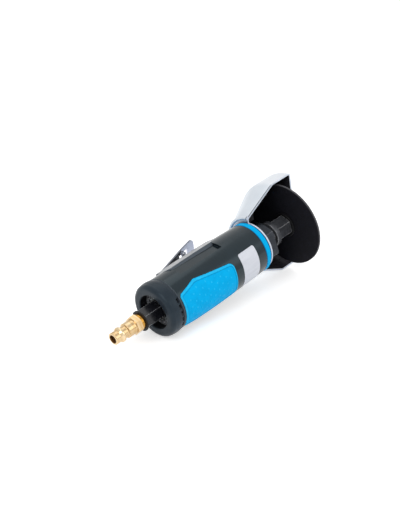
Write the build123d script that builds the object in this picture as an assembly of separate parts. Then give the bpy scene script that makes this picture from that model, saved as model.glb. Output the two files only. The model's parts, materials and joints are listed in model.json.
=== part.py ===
from build123d import *
import math
import os

# Straight air cut-off grinder, in millimetres. Each piece is drawn in the tool's own frame: the tool's axis
# is X with the disc at +X, the lever at +Y and the grip pad at -Y, and X = 0 is the housing's front face.
# The finished pieces are then laid down at rest, on the guard's bend and the rear cap.

# Clearances
slip_fit = 0.05
seat_gap = 0.1
turn_gap = 0.2
cutter_overrun = 1.0

# Hexagons
hex_sides = 6
hex_chamfer_deg = 30.0

# Ball bearings
front_bearing_bore = 12.0
front_bearing_od = 28.0
front_bearing_width = 8.0
front_bearing_wall = 2.2
front_ball_r = 2.2
front_ball_count = 8
rear_bearing_bore = 8.0
rear_bearing_od = 22.0
rear_bearing_width = 7.0
rear_bearing_wall = 1.9
rear_ball_r = 1.9
rear_ball_count = 7

# Vane motor
end_plate_wall = 2.0
end_plate_web = 3.8
end_plate_shaft_gap = 1.0
cylinder_length = 42.0
cylinder_wall = 1.8
cylinder_offset = 1.2
cylinder_port_r = 1.2
cylinder_port_pitch = 8.0
cylinder_port_count = 3
rotor_gap = 0.1
rotor_end_gap = 0.05
vane_count = 5
vane_thickness = 1.8
vane_root_r = 5.7
dowel_r = 1.2
dowel_length = 6.0

# Housing, a barrel with a spigot at each end
belly_wall = 7.5
belly_from_rear = 47.5
belly_sweep_r = 1250.0
housing_edge_r = 0.8
ring_seat_length = 7.0
ring_seat_wall = 3.6
inlet_boss_wall = 3.9
inlet_boss_length = 7.5
cap_shoulder = 5.2
cap_spigot_length = 5.5
cap_spigot_wall = 3.4
exhaust_bore_depth = 11.0
exhaust_duct_r = 1.8
exhaust_duct_inset = 0.8
exhaust_duct_step = 40.0
exhaust_duct_count = 5
exhaust_duct_front_gap = 4.0
exhaust_window_r = 1.3
exhaust_window_count = 8

# Moulded panels above and below the handle
panel_from_rear = 16.5
panel_length = 47.0
panel_width = 11.5
panel_rear_depth = 0.7
panel_front_depth = 2.2

# Grip pad let into the housing
pad_from_rear = 1.7
pad_length = 58.8
pad_taper_length = 18.5
pad_rear_half = 14.5
pad_wide_half = 18.6
pad_front_half = 14.2
pad_rear_corner_r = 2.5
pad_wide_corner_r = 6.0
pad_front_corner_r = 4.5
pad_depth = 1.3
pad_proud = 0.5
pad_edge_r = 0.45

# Bare rating plate
plate_pad_gap = 8.4
plate_length = 19.0
plate_width = 31.6
plate_corner_r = 1.6
plate_depth = 0.35
plate_proud = 0.1

# Front ring
ring_wall = 2.9
ring_edge_r = 1.0
ring_face_gap = 0.9

# Rear cap
cap_length = 12.8
cap_wall = 4.3
cap_belly_rise = 0.7
cap_rear_rise = 0.3
cap_round_r = 4.0
cap_mouth_edge_r = 1.0
cap_slot_count = 6
cap_slot_angle = 10.0
cap_slot_pitch = 13.5
cap_slot_length = 3.4
cap_front_bevel = 0.3
cap_relief_length = 1.6
cap_relief_depth = 1.8
cap_ring_from_front = 3.9
cap_ring_width = 0.8
cap_ring_sunk = 0.7
cap_ring_proud = 0.5
cap_ring_split = 8.0
screen_thickness = 1.2
screen_inset = 0.2

# Inlet bushing and coupling plug
bushing_thread_r = 6.55
bushing_thread_length = 15.4
bushing_hex_flats = 15.0
bushing_hex_length = 17.7
bushing_hex_chamfer = 0.9
bushing_hex_turn = -16.0
bushing_seal_thickness = 0.6
bushing_seal_width = 2.0
air_bore_r = 3.5
strainer_length = 1.2
strainer_wall = 0.8
strainer_floor = 0.3
plug_thread_r = 4.9
plug_thread_length = 8.6
plug_thread_edge_r = 0.5
plug_washer_thickness = 0.9
plug_washer_r = 8.7
plug_neck_r = 6.8
plug_neck_length = 3.2
plug_hex_flats = 14.0
plug_hex_length = 4.9
plug_hex_chamfer = 0.7
plug_hex_turn = -16.0
plug_body_r = 6.2
plug_body_length = 7.9
plug_groove_r = 4.9
plug_groove_length = 4.4
plug_groove_round_r = 0.6
plug_collar_r = 6.3
plug_collar_length = 1.7
plug_collar_round_r = 0.5
plug_flare_length = 2.0
plug_nose_r = 5.1
plug_nose_length = 4.7
plug_tip_round_r = 0.7
plug_bore_r = 3.6

# Throttle valve across the housing
valve_wall = 5.5
valve_bore_r = 4.5
valve_floor_y = -9.0
valve_seat_y = 5.0
valve_flange_width = 1.1
valve_flange_thickness = 1.0
valve_flange_edge_r = 0.3
valve_chamber_r = 2.6
valve_chamber_length = 7.0
valve_lever_gap = 0.38
valve_stem_r = 1.5
valve_head_r = 3.3
valve_head_thickness = 1.8
valve_head_edge_r = 0.4
valve_seal_r = 3.6
valve_seal_thickness = 1.9
valve_oring_height = 9.5
valve_oring_wire_r = 0.6
valve_port_r = 2.2
valve_port_height = 4.0
valve_wire_d = 0.7
valve_coil_r = 2.7
valve_coil_turns = 5

# Throttle lever, drawn released
lever_valve_arm = 14.0
lever_pivot_from_rear = 6.5
lever_pivot_sink = 1.1
lever_pin_r = 1.5
lever_pin_stand_out = 0.2
lever_ear_r = 3.4
lever_heel_reach = 4.5
lever_bend_reach = 10.0
lever_back_height = 4.2
lever_rise_deg = 17.9
lever_rise_length = 42.5
lever_tongue_deg = 15.0
lever_tongue_length = 18.8
lever_thickness = 1.5
lever_width = 14.0
lever_tip_corner_r = 5.0
lever_bend_r = 8.0
lever_knee_r = 12.0
lever_flange_length = 24.0
lever_side_gap = 0.3

# Channel and pocket for the lever in the housing's +Y side
lever_channel_gap = 1.5
lever_channel_depth = 3.5
lever_channel_short = 1.0
lever_channel_corner_r = 2.0
lever_pocket_gap = 2.0
lever_pocket_ahead = 8.0
lever_pocket_rear_wall = 1.1
lever_boss_r = 3.0

# Safety latch under the lever
latch_from_knee = 0.5
latch_drop = 2.2
latch_lean_deg = 40.0
latch_floor_gap = 1.8
latch_pin_r = 1.0
latch_pin_stand_out = 0.2
latch_barrel_r = 2.2
latch_root_half = 1.6
latch_foot_r = 0.9
latch_tab_r = 0.8
latch_tab_reach = 7.0
latch_width = 6.0
latch_gap = 0.4
latch_slot_behind = 4.5
latch_slot_ahead = 9.0
latch_ear_thickness = 1.2
latch_wire_d = 0.5
latch_coil_r = 1.75
latch_coil_pitch = 1.0
latch_coil_turns = 3

# Clamp nut and dust seal
nut_neck_length = 9.1
nut_hex_flats = 35.0
nut_hex_length = 9.8
nut_chamfer = 1.1
nut_hex_turn = -14.0
nut_bore_gap = 1.0
seal_wall = 2.6
seal_width = 3.0
seal_inset = 2.0

# Arbor, flanges, disc and screw
arbor_sleeve_wall = 2.0
arbor_thread_r = 4.9
arbor_thread_length = 16.0
arbor_neck_length = 8.6
arbor_collar_r = 11.5
arbor_collar_length = 4.6
arbor_collar_edge_r = 0.6
arbor_cone_length = 1.4
arbor_hex_flats = 17.0
arbor_hex_length = 14.4
arbor_hex_chamfer = 0.5
arbor_hex_turn = -10.0
flange_r = 11.0
flange_thickness = 2.0
flange_edge_r = 0.5
pilot_r = 4.7
disc_r = 37.5
disc_thickness = 1.6
screw_r = 2.95
screw_length = 20.0
screw_end_round_r = 0.6
screw_head_r = 5.25
screw_head_height = 3.2
screw_head_round_r = 1.6
screw_socket_flats = 4.0
screw_socket_depth = 1.9

# Guard
guard_sheet = 1.5
guard_play = 0.05
guard_plate_width = 5.2
guard_nut_gap = 5.8
guard_disc_gap = 4.0
guard_disc_behind = 8.0
guard_disc_ahead = 12.2
guard_lip_width = 19.0
guard_foot_bend_r = 3.5
guard_rim_bend_r = 6.0
guard_lip_bend_r = 3.0
guard_cut_y = 1.9
guard_cut_turn = 2.0

# Radii that follow from the sizes above
motor_bore_r = front_bearing_od / 2 + end_plate_wall
motor_body_r = motor_bore_r - slip_fit
rotor_r = motor_bore_r - cylinder_wall - 2 * cylinder_offset - rotor_gap
cylinder_bore_r = rotor_r + cylinder_offset + rotor_gap
belly_r = motor_bore_r + belly_wall
ring_seat_r = motor_bore_r + ring_seat_wall
ring_outer_r = ring_seat_r + ring_wall
inlet_boss_r = bushing_thread_r + slip_fit + inlet_boss_wall
cap_spigot_r = belly_r - cap_shoulder
cap_front_r = cap_spigot_r + cap_wall
cap_rear_r = cap_front_r + cap_rear_rise
cap_seat_r = cap_spigot_r + seat_gap
exhaust_bore_r = cap_spigot_r - cap_spigot_wall
arbor_sleeve_r = front_bearing_bore / 2 + arbor_sleeve_wall
seal_groove_r = arbor_sleeve_r + seal_wall
guard_hole_r = motor_bore_r + seat_gap
guard_cone_r = nut_hex_flats / 2 / math.cos(math.pi / hex_sides) + guard_nut_gap
guard_rim_r = disc_r + guard_disc_gap + guard_sheet
plug_socket_r = plug_thread_r + slip_fit

# Places along the axis, from the housing's front face back to the plug
ring_rear_x = -ring_seat_length
front_plate_x = -nut_neck_length - seat_gap
front_bearing_x = front_plate_x - front_bearing_width
cylinder_front_x = front_bearing_x - end_plate_web
cylinder_rear_x = cylinder_front_x - cylinder_length
rear_plate_x = cylinder_rear_x - end_plate_web - rear_bearing_width - seat_gap
motor_bore_end_x = rear_plate_x - seat_gap
valve_x = motor_bore_end_x - valve_wall - valve_bore_r
lever_pivot_x = valve_x - lever_valve_arm
housing_rear_x = lever_pivot_x - lever_pivot_from_rear
belly_x = housing_rear_x + belly_from_rear
spigot_rear_x = housing_rear_x - cap_spigot_length
boss_rear_x = housing_rear_x - inlet_boss_length
cap_front_x = housing_rear_x - turn_gap
cap_rear_x = cap_front_x - cap_length
cap_ring_x = cap_front_x - cap_ring_from_front
bushing_front_x = boss_rear_x - bushing_seal_thickness - seat_gap
bushing_rear_x = bushing_front_x - bushing_hex_length
bushing_thread_end_x = bushing_front_x + bushing_thread_length
plug_front_x = bushing_rear_x - plug_washer_thickness - seat_gap
plug_thread_end_x = plug_front_x + plug_thread_length
plug_socket_end_x = plug_thread_end_x + seat_gap + strainer_length + slip_fit
plug_hex_front_x = plug_front_x - plug_neck_length
plug_hex_rear_x = plug_hex_front_x - plug_hex_length
plug_body_rear_x = plug_hex_rear_x - plug_body_length
plug_groove_rear_x = plug_body_rear_x - plug_groove_length
plug_collar_rear_x = plug_groove_rear_x - plug_collar_length
plug_flare_rear_x = plug_collar_rear_x - plug_flare_length
plug_tip_x = plug_flare_rear_x - plug_nose_length

# Places along the handle
pad_rear_x = housing_rear_x + pad_from_rear
pad_wide_x = pad_rear_x + pad_taper_length
pad_front_x = pad_rear_x + pad_length
plate_rear_x = pad_front_x + plate_pad_gap
plate_front_x = plate_rear_x + plate_length
panel_rear_x = housing_rear_x + panel_from_rear
panel_front_x = panel_rear_x + panel_length

# Places along the axis, from the housing's front face forward to the disc
nut_rear_x = guard_sheet + 2 * guard_play
nut_front_x = nut_rear_x + nut_hex_length
seal_front_x = nut_front_x - seal_inset
arbor_rear_x = front_plate_x + seat_gap
arbor_collar_x = nut_front_x + arbor_neck_length
arbor_cone_x = arbor_collar_x + arbor_collar_length
arbor_hex_x = arbor_cone_x + arbor_cone_length
arbor_front_x = arbor_hex_x + arbor_hex_length
inner_flange_x = arbor_front_x + slip_fit
disc_x = inner_flange_x + flange_thickness + slip_fit
outer_flange_x = disc_x + disc_thickness + slip_fit
screw_head_x = outer_flange_x + flange_thickness + slip_fit
screw_end_x = screw_head_x - screw_length
guard_rim_rear_x = disc_x - guard_disc_behind
guard_front_x = disc_x + disc_thickness + guard_disc_ahead + guard_sheet

# Lever, latch and valve across the axis
lever_pivot_y = belly_r - lever_pivot_sink
lever_bend_x = lever_pivot_x + lever_bend_reach
lever_bend_y = lever_pivot_y + lever_back_height
lever_knee_x = lever_bend_x + lever_rise_length
lever_tip_x = lever_knee_x + lever_tongue_length
lever_slope = math.tan(math.radians(lever_rise_deg))
lever_inner_half = lever_width / 2 - lever_thickness
lever_channel_y = belly_r - lever_channel_depth
lever_pocket_y = lever_pivot_y - lever_ear_r - lever_pocket_gap
valve_head_top_y = valve_seat_y - valve_seal_thickness - seat_gap
valve_head_floor_y = valve_head_top_y - valve_head_thickness


def lever_back_y(x):
    # Height of the lever's outer face on its rising stretch
    return lever_bend_y + (x - lever_bend_x) * lever_slope


def lever_belly_y(x):
    # Height of the lever's face towards the housing on its rising stretch
    return lever_back_y(x) - lever_thickness * math.hypot(1, lever_slope)


valve_stem_tip_y = lever_belly_y(valve_x) - valve_lever_gap
latch_x = lever_knee_x - latch_from_knee
latch_y = lever_belly_y(latch_x) - latch_drop
latch_foot_reach = (latch_y - lever_channel_y - latch_floor_gap) / math.cos(math.radians(latch_lean_deg))


def skin_r(x):
    # Radius of the barrel's outer surface at x
    return belly_r - belly_sweep_r + math.sqrt(belly_sweep_r**2 - (x - belly_x) ** 2)


def outline(*corners):
    # Closed face; a corner is (x, y) or (x, y, round radius)
    points = [corner[:2] for corner in corners]
    rounds = [corner[2] if len(corner) > 2 else 0 for corner in corners]
    return make_face(FilletPolyline(*points, radius=rounds, close=True))


def turned(*corners):
    # Solid of revolution about X; a corner is (x, r) or (x, r, round radius)
    return revolve(outline(*corners), Axis.X)


def tube(x0, x1, inner_r, outer_r):
    return turned((x0, inner_r), (x1, inner_r), (x1, outer_r), (x0, outer_r))


def rod(x0, x1, r):
    return Pos((x0 + x1) / 2, 0, 0) * Rot(0, 90, 0) * Cylinder(r, abs(x1 - x0))


def block(x0, x1, y0, y1, half):
    # Box that lies evenly about z = 0
    centre = Pos((x0 + x1) / 2, (y0 + y1) / 2, 0)
    return centre * Box(abs(x1 - x0), abs(y1 - y0), 2 * half)


def slab(face, z0, z1):
    # Extrudes a face of the XY plane from z0 to z1
    return Pos(0, 0, z0) * extrude(face, z1 - z0)


def around(shape, angle):
    # Turns a shape about the tool's axis
    return Rot(angle, 0, 0) * shape


def ring_of(shape, count):
    return [around(shape, 360 / count * n) for n in range(count)]


def across(shape):
    # Stands a shape drawn along X in the valve's bore, pointing to +Y
    return Pos(valve_x, 0, 0) * Rot(0, 0, 90) * shape


def skin(x0, x1, inset, proud):
    # Shell that follows the barrel from x0 to x1
    def run(out):
        middle = (x0 + x1) / 2
        return ThreePointArc((x0, skin_r(x0) + out), (middle, skin_r(middle) + out), (x1, skin_r(x1) + out))

    low, high = run(-inset), run(proud)
    return revolve(make_face([low, high, Line(low @ 0, high @ 0), Line(low @ 1, high @ 1)]), Axis.X)


def towards_pad(face):
    # Prism of a face over the housing's -Y half
    return extrude(Plane.XZ * face, 2 * belly_r)


def hexagon(x0, x1, flats, turn):
    prism = extrude(RegularPolygon(flats / 2, hex_sides, major_radius=False), x1 - x0)
    return around(Pos(x0, 0, 0) * Rot(0, 90, 0) * prism, turn)


def chamfered_hexagon(x0, x1, flats, chamfer, turn):
    # Hexagon bar with its corners turned down at both ends
    corner_r = flats / 2 / math.cos(math.pi / hex_sides)
    face_r = corner_r - chamfer
    drop = chamfer * math.tan(math.radians(hex_chamfer_deg))
    limit = turned(
        (x0, 0), (x1, 0), (x1, face_r), (x1 - drop, corner_r), (x0 + drop, corner_r), (x0, face_r)
    )
    return hexagon(x0, x1, flats, turn) & limit


def offset_corners(points, distance):
    # The same run of straight lines, moved to the left of its direction
    ways = [(Vector(*end) - Vector(*start)).normalized() for start, end in zip(points, points[1:])]
    moved = []
    for index, point in enumerate(points):
        before, after = ways[max(index - 1, 0)], ways[min(index, len(ways) - 1)]
        lefts = Vector(-before.Y, before.X) + Vector(-after.Y, after.X)
        place = Vector(*point) + lefts * (distance / (1 + before.dot(after)))
        moved.append((place.X, place.Y))
    return moved


def bent_sheet(points, bends, thickness):
    # Bent sheet seen from its edge: the points run along one face and the other lies to their right
    far = offset_corners(points, -thickness)
    far_bends = []
    for before, here, after, bend in zip(points, points[1:], points[2:], bends):
        run, next_run = Vector(*here) - Vector(*before), Vector(*after) - Vector(*here)
        turns_right = run.cross(next_run).Z < 0
        far_bends.append(bend - thickness if turns_right else bend + thickness)
    rounds = [0, *bends, 0, 0, *far_bends[::-1], 0]
    return make_face(FilletPolyline(*points, *far[::-1], radius=rounds, close=True))


def helix_place(radius, pitch, turns):
    angle = 2 * math.pi * turns
    return Vector(pitch * turns, radius * math.cos(angle), radius * math.sin(angle))


def helix_way(radius, pitch, turns):
    angle = 2 * math.pi * turns
    way = Vector(pitch / (2 * math.pi), -radius * math.sin(angle), radius * math.cos(angle))
    return way.normalized()


def biarc(start, start_way, end, end_way):
    # Two arcs that leave start and reach end along the given ways
    run = end - start
    ways = start_way + end_way
    bend = 2 * (1 - start_way.dot(end_way))
    along = run.dot(ways)
    reach = (math.sqrt(along**2 + bend * run.dot(run)) - along) / bend
    middle = (start + end + (start_way - end_way) * reach) / 2
    middle_way = run - ways * reach
    return [TangentArc(start, middle, tangent=start_way), TangentArc(middle, end, tangent=middle_way)]


def coil(name, radius, pitch, turns, wire_d):
    # Wound spring along X from x = 0, swept along quarter turns
    path = []
    for quarter in range(4 * turns):
        here, there = quarter / 4, (quarter + 1) / 4
        path += biarc(
            helix_place(radius, pitch, here),
            helix_way(radius, pitch, here),
            helix_place(radius, pitch, there),
            helix_way(radius, pitch, there),
        )
    wire = Wire(path)
    steps_a_turn = 24
    points = [wire @ (step / (steps_a_turn * turns)) for step in range(steps_a_turn * turns + 1)]
    half_turn = steps_a_turn // 2
    pairs = [(a - b).length for n, a in enumerate(points) for b in points[n + half_turn :]]
    print(name, "least gap to itself", round(min(pairs) - wire_d, 2), "mm")
    return sweep(Plane(origin=wire @ 0, z_dir=wire % 0) * Circle(wire_d / 2), path=wire)


def pad_face(gap):
    # Outline of the grip pad seen from the side, with a gap round it
    face = outline(
        (pad_rear_x, -pad_rear_half, pad_rear_corner_r),
        (pad_wide_x, -pad_wide_half, pad_wide_corner_r),
        (pad_front_x, -pad_front_half, pad_front_corner_r),
        (pad_front_x, pad_front_half, pad_front_corner_r),
        (pad_wide_x, pad_wide_half, pad_wide_corner_r),
        (pad_rear_x, pad_rear_half, pad_rear_corner_r),
    )
    return offset(face, gap) if gap else face


def plate_face(gap):
    face = RectangleRounded(plate_length + 2 * gap, plate_width + 2 * gap, plate_corner_r + gap)
    return Pos((plate_rear_x + plate_front_x) / 2, 0) * face


def barrel():
    rear_r, front_r = skin_r(housing_rear_x), skin_r(ring_rear_x)
    arc = ThreePointArc((housing_rear_x, rear_r), (belly_x, belly_r), (ring_rear_x, front_r))
    inside = Polyline((ring_rear_x, front_r), (ring_rear_x, 0), (housing_rear_x, 0), (housing_rear_x, rear_r))
    solid = revolve(make_face([arc, inside]), Axis.X)
    rear_edge = solid.edges().filter_by(GeomType.CIRCLE).group_by(Axis.X)[0]
    return fillet(rear_edge, housing_edge_r)


def spigots():
    # Seats of the front ring, the rear cap and the inlet bushing
    front = rod(ring_rear_x - cutter_overrun, 0, ring_seat_r)
    bottom_x = spigot_rear_x + exhaust_bore_depth
    rear = tube(spigot_rear_x, bottom_x, exhaust_bore_r, cap_spigot_r)
    groove_r = cap_spigot_r - cap_ring_sunk - seat_gap
    rear -= tube(cap_ring_x - cap_ring_width - seat_gap, cap_ring_x + seat_gap, groove_r, belly_r)
    window_x = cap_front_x - cap_slot_length / 2
    middle_r = (cap_spigot_r + exhaust_bore_r) / 2
    window = Pos(window_x, middle_r, 0) * Rot(90, 0, 0) * Cylinder(exhaust_window_r, 2 * cap_spigot_wall)
    rear -= ring_of(window, exhaust_window_count)
    boss = rod(boss_rear_x, bottom_x + cutter_overrun, inlet_boss_r)
    return [front, rear, boss]


def exhaust_ducts():
    # Long round ducts that open the motor's bore to the exhaust space on the pad's side
    rear_x = spigot_rear_x + exhaust_bore_depth - seat_gap
    front_x = cylinder_front_x - exhaust_duct_front_gap
    duct = Pos(0, exhaust_duct_inset - motor_bore_r, 0) * rod(rear_x, front_x, exhaust_duct_r)
    first = -exhaust_duct_step * (exhaust_duct_count - 1) / 2
    return [around(duct, first + exhaust_duct_step * n) for n in range(exhaust_duct_count)]


def air_ways():
    # Inlet thread and passage, valve bore and the port to the motor
    thread = rod(boss_rear_x - cutter_overrun, bushing_thread_end_x + seat_gap, bushing_thread_r + slip_fit)
    passage = rod(boss_rear_x, valve_x, air_bore_r)
    valve_bore = across(rod(valve_floor_y, lever_pocket_y + cutter_overrun, valve_bore_r))
    port_y = valve_seat_y + valve_port_height
    port = Pos(0, port_y, 0) * rod(valve_x, motor_bore_end_x + cutter_overrun, valve_port_r)
    return [thread, passage, valve_bore, port]


def panel_cut():
    # Wedge that leaves a flat floor, deeper at its front end
    rear_z = skin_r(panel_rear_x) - panel_rear_depth
    front_z = skin_r(panel_front_x) - panel_front_depth
    top_z = belly_r + cutter_overrun
    side = outline(
        (panel_rear_x, rear_z), (panel_front_x, front_z), (panel_front_x, top_z), (panel_rear_x, top_z)
    )
    return extrude(Plane.XZ * side, panel_width / 2, both=True)


def lever_cut():
    # Channel under the lever, with a deeper pocket round its pivot and the valve
    rear_x = housing_rear_x + lever_pocket_rear_wall
    top_y = belly_r + cutter_overrun
    half = lever_width / 2 + lever_channel_gap
    channel = block(rear_x, lever_tip_x - lever_channel_short, lever_channel_y, top_y, half)
    pocket = block(rear_x, valve_x + lever_pocket_ahead, lever_pocket_y, top_y, half)
    both = channel + pocket
    return fillet(both.edges().filter_by(Axis.Y), lever_channel_corner_r)


def lever_boss():
    half = lever_inner_half - lever_side_gap
    eye = Circle(lever_boss_r)
    foot = Pos(0, (exhaust_bore_r - lever_pivot_y) / 2) * Rectangle(
        2 * lever_boss_r, lever_pivot_y - exhaust_bore_r
    )
    return Pos(lever_pivot_x, lever_pivot_y, 0) * slab(eye + foot, -half, half)


def handle_housing():
    body = barrel()
    body -= rod(housing_rear_x, spigot_rear_x + exhaust_bore_depth, exhaust_bore_r)
    body += spigots()
    body -= rod(motor_bore_end_x, cutter_overrun, motor_bore_r)
    body -= exhaust_ducts()
    body -= lever_cut()
    body += lever_boss()
    body -= air_ways()
    body -= Pos(lever_pivot_x, lever_pivot_y, 0) * Cylinder(lever_pin_r + slip_fit, 2 * lever_width)
    proud = cutter_overrun
    body -= skin(pad_rear_x - proud, pad_front_x + proud, pad_depth, proud) & towards_pad(pad_face(slip_fit))
    body -= skin(plate_rear_x - proud, plate_front_x + proud, plate_depth, proud) & towards_pad(
        plate_face(slip_fit)
    )
    return body - [panel_cut(), around(panel_cut(), 180)]


def palm_pad():
    past = cutter_overrun
    shell = skin(pad_rear_x - past, pad_front_x + past, pad_depth - slip_fit, pad_proud)
    pad = shell & towards_pad(pad_face(0))
    rim = pad.faces().sort_by(SortBy.AREA)[-1].edges()
    return fillet(rim, pad_edge_r)


def rating_plate():
    past = cutter_overrun
    shell = skin(plate_rear_x - past, plate_front_x + past, plate_depth - slip_fit, plate_proud)
    return shell & towards_pad(plate_face(0))


def front_ring():
    front, rear = -ring_face_gap, ring_rear_x + slip_fit
    inner = ring_seat_r + slip_fit
    return turned(
        (rear, inner), (front, inner), (front, ring_outer_r, ring_edge_r), (rear, ring_outer_r, ring_edge_r)
    )


def rear_cap():
    wall_x = spigot_rear_x - turn_gap
    round_x = cap_rear_x + cap_round_r
    flat_r = cap_rear_r - cap_round_r
    belly = ((cap_front_x + round_x) / 2, cap_front_r + cap_belly_rise)
    side_x, bevel_r = cap_front_x - cap_front_bevel, cap_front_r - cap_front_bevel
    side = ThreePointArc((side_x, cap_front_r), belly, (round_x, cap_rear_r))
    rounded = RadiusArc((round_x, cap_rear_r), (cap_rear_x, flat_r), -cap_round_r)
    inside = FilletPolyline(
        (cap_rear_x, flat_r),
        (cap_rear_x, exhaust_bore_r),
        (wall_x, exhaust_bore_r),
        (wall_x, cap_seat_r),
        (cap_front_x, cap_seat_r),
        (cap_front_x, bevel_r),
        (side_x, cap_front_r),
        radius=[cap_mouth_edge_r, 0, 0, 0, 0],
    )
    cap = revolve(make_face([side, rounded, inside]), Axis.X)
    groove_r = cap_spigot_r + cap_ring_proud + seat_gap
    cap -= tube(cap_ring_x - cap_ring_width - seat_gap, cap_ring_x + seat_gap, exhaust_bore_r, groove_r)
    half = cap_front_r * math.tan(math.radians(cap_slot_angle / 2))
    slot_rear_x, slot_front_x = cap_front_x - cap_slot_length, cap_front_x + cutter_overrun
    slot = block(slot_rear_x, slot_front_x, -2 * belly_r, -exhaust_bore_r, half)
    first = -cap_slot_pitch * (cap_slot_count - 1) / 2
    cap -= [around(slot, first + cap_slot_pitch * n) for n in range(cap_slot_count)]
    return cap - slot_relief(slot_front_x)


def slot_relief(front_x):
    # Groove that joins the cap's slots along its front edge
    rear_x, floor_r = cap_front_x - cap_relief_length, cap_front_r - cap_relief_depth
    face = outline((rear_x, floor_r), (front_x, floor_r), (front_x, 2 * belly_r), (rear_x, 2 * belly_r))
    span = cap_slot_pitch * cap_slot_count
    return around(revolve(face, Axis.X, span), 180 - span / 2)


def cap_retaining_ring():
    outer_r = cap_spigot_r + cap_ring_proud
    ring = tube(cap_ring_x - cap_ring_width, cap_ring_x, cap_spigot_r - cap_ring_sunk, outer_r)
    rear_x, front_x = cap_ring_x - cap_ring_width - cutter_overrun, cap_ring_x + cutter_overrun
    return ring - block(rear_x, front_x, 0, 2 * outer_r, cap_ring_split / 2)


def exhaust_screen():
    rear_x = spigot_rear_x + screen_inset
    return tube(rear_x, rear_x + screen_thickness, inlet_boss_r + slip_fit, exhaust_bore_r - slip_fit)


def inlet_bushing():
    size = bushing_hex_flats, bushing_hex_chamfer, bushing_hex_turn
    bar = chamfered_hexagon(bushing_rear_x, bushing_front_x, *size)
    bushing = bar + rod(bushing_front_x - cutter_overrun, bushing_thread_end_x, bushing_thread_r)
    bushing -= rod(bushing_rear_x - cutter_overrun, plug_socket_end_x, plug_socket_r)
    return bushing - rod(bushing_rear_x, bushing_thread_end_x + cutter_overrun, air_bore_r)


def bushing_seal():
    rear_x = bushing_front_x + slip_fit
    inner_r = bushing_thread_r + slip_fit
    return tube(rear_x, rear_x + bushing_seal_thickness, inner_r, inner_r + bushing_seal_width)


def inlet_strainer():
    # Cup that stands on the step in the bushing's bore
    front_x = plug_socket_end_x - slip_fit
    rear_x = front_x - strainer_length
    outer_r = plug_socket_r - slip_fit
    cup = rod(rear_x, front_x, outer_r)
    return cup - rod(rear_x - cutter_overrun, front_x - strainer_floor, outer_r - strainer_wall)


def plug_washer():
    front_x = bushing_rear_x - slip_fit
    return tube(front_x - plug_washer_thickness, front_x, plug_socket_r, plug_washer_r)


def coupling_plug():
    stem = turned(
        (plug_thread_end_x, 0),
        (plug_thread_end_x, plug_thread_r, plug_thread_edge_r),
        (plug_front_x, plug_thread_r),
        (plug_front_x, plug_neck_r),
        (plug_hex_front_x, plug_neck_r),
        (plug_hex_front_x, plug_body_r),
        (plug_body_rear_x, plug_body_r, plug_groove_round_r),
        (plug_body_rear_x, plug_groove_r, plug_groove_round_r),
        (plug_groove_rear_x, plug_groove_r, plug_groove_round_r),
        (plug_groove_rear_x, plug_collar_r, plug_collar_round_r),
        (plug_collar_rear_x, plug_collar_r, plug_collar_round_r),
        (plug_flare_rear_x, plug_nose_r),
        (plug_tip_x, plug_nose_r, plug_tip_round_r),
        (plug_tip_x, 0),
    )
    size = plug_hex_flats, plug_hex_chamfer, plug_hex_turn
    bar = chamfered_hexagon(plug_hex_rear_x, plug_hex_front_x, *size)
    past = cutter_overrun
    return stem + bar - rod(plug_tip_x - past, plug_thread_end_x + past, plug_bore_r)


def lever_strip():
    # The pressed strip, cut to a rounded tongue
    heel_x = lever_pivot_x + lever_heel_reach
    knee_y = lever_back_y(lever_knee_x)
    tip_y = knee_y + lever_tongue_length * math.tan(math.radians(lever_tongue_deg))
    back = [
        (heel_x, lever_bend_y),
        (lever_bend_x, lever_bend_y),
        (lever_knee_x, knee_y),
        (lever_tip_x, tip_y),
    ]
    half = lever_width / 2
    strip = slab(bent_sheet(back, [lever_bend_r, lever_knee_r], lever_thickness), -half, half)
    plan = outline(
        (heel_x - cutter_overrun, -half),
        (lever_tip_x, -half, lever_tip_corner_r),
        (lever_tip_x, half, lever_tip_corner_r),
        (heel_x - cutter_overrun, half),
    )
    return strip & extrude(Plane.XZ * plan, 2 * tip_y, both=True)


def lever_cheek():
    # Side flange that reaches back to the pivot
    end_x = lever_pivot_x + lever_flange_length
    inside = lever_thickness / 2
    face = outline(
        (lever_pivot_x, lever_pivot_y - lever_ear_r),
        (end_x, lever_belly_y(end_x)),
        (end_x, lever_belly_y(end_x) + inside),
        (lever_bend_x, lever_bend_y - inside),
        (lever_pivot_x + lever_heel_reach, lever_bend_y),
        (lever_pivot_x, lever_pivot_y + lever_ear_r),
    )
    pivot = Pos(lever_pivot_x, lever_pivot_y)
    return face + pivot * Circle(lever_ear_r) - pivot * Circle(lever_pin_r + slip_fit)


def latch_ear():
    # Small ear under the lever that holds one end of the latch pin
    inside = lever_thickness / 3
    rear_x, front_x = latch_x - latch_barrel_r, latch_x + latch_barrel_r
    face = outline(
        (rear_x, latch_y),
        (front_x, latch_y),
        (front_x, lever_belly_y(front_x) + inside),
        (rear_x, lever_belly_y(rear_x) + inside),
    )
    pivot = Pos(latch_x, latch_y)
    return face + pivot * Circle(latch_barrel_r) - pivot * Circle(latch_pin_r + slip_fit)


def throttle_lever():
    half = lever_width / 2
    lever = lever_strip()
    lever += [slab(lever_cheek(), lever_inner_half, half), slab(lever_cheek(), -half, -lever_inner_half)]
    inner = latch_width / 2 + latch_gap
    outer = inner + latch_ear_thickness
    rear_x, front_x = latch_x - latch_slot_behind, latch_x + latch_slot_ahead
    lever -= block(rear_x, front_x, latch_y, 2 * latch_y, inner)
    return lever + [slab(latch_ear(), inner, outer), slab(latch_ear(), -outer, -inner)]


def lever_pin():
    return Pos(lever_pivot_x, lever_pivot_y, 0) * Cylinder(lever_pin_r, lever_width + 2 * lever_pin_stand_out)


def latch_pin():
    half = latch_width / 2 + latch_gap + latch_ear_thickness + latch_pin_stand_out
    return Pos(latch_x, latch_y, 0) * Cylinder(latch_pin_r, 2 * half)


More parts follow.
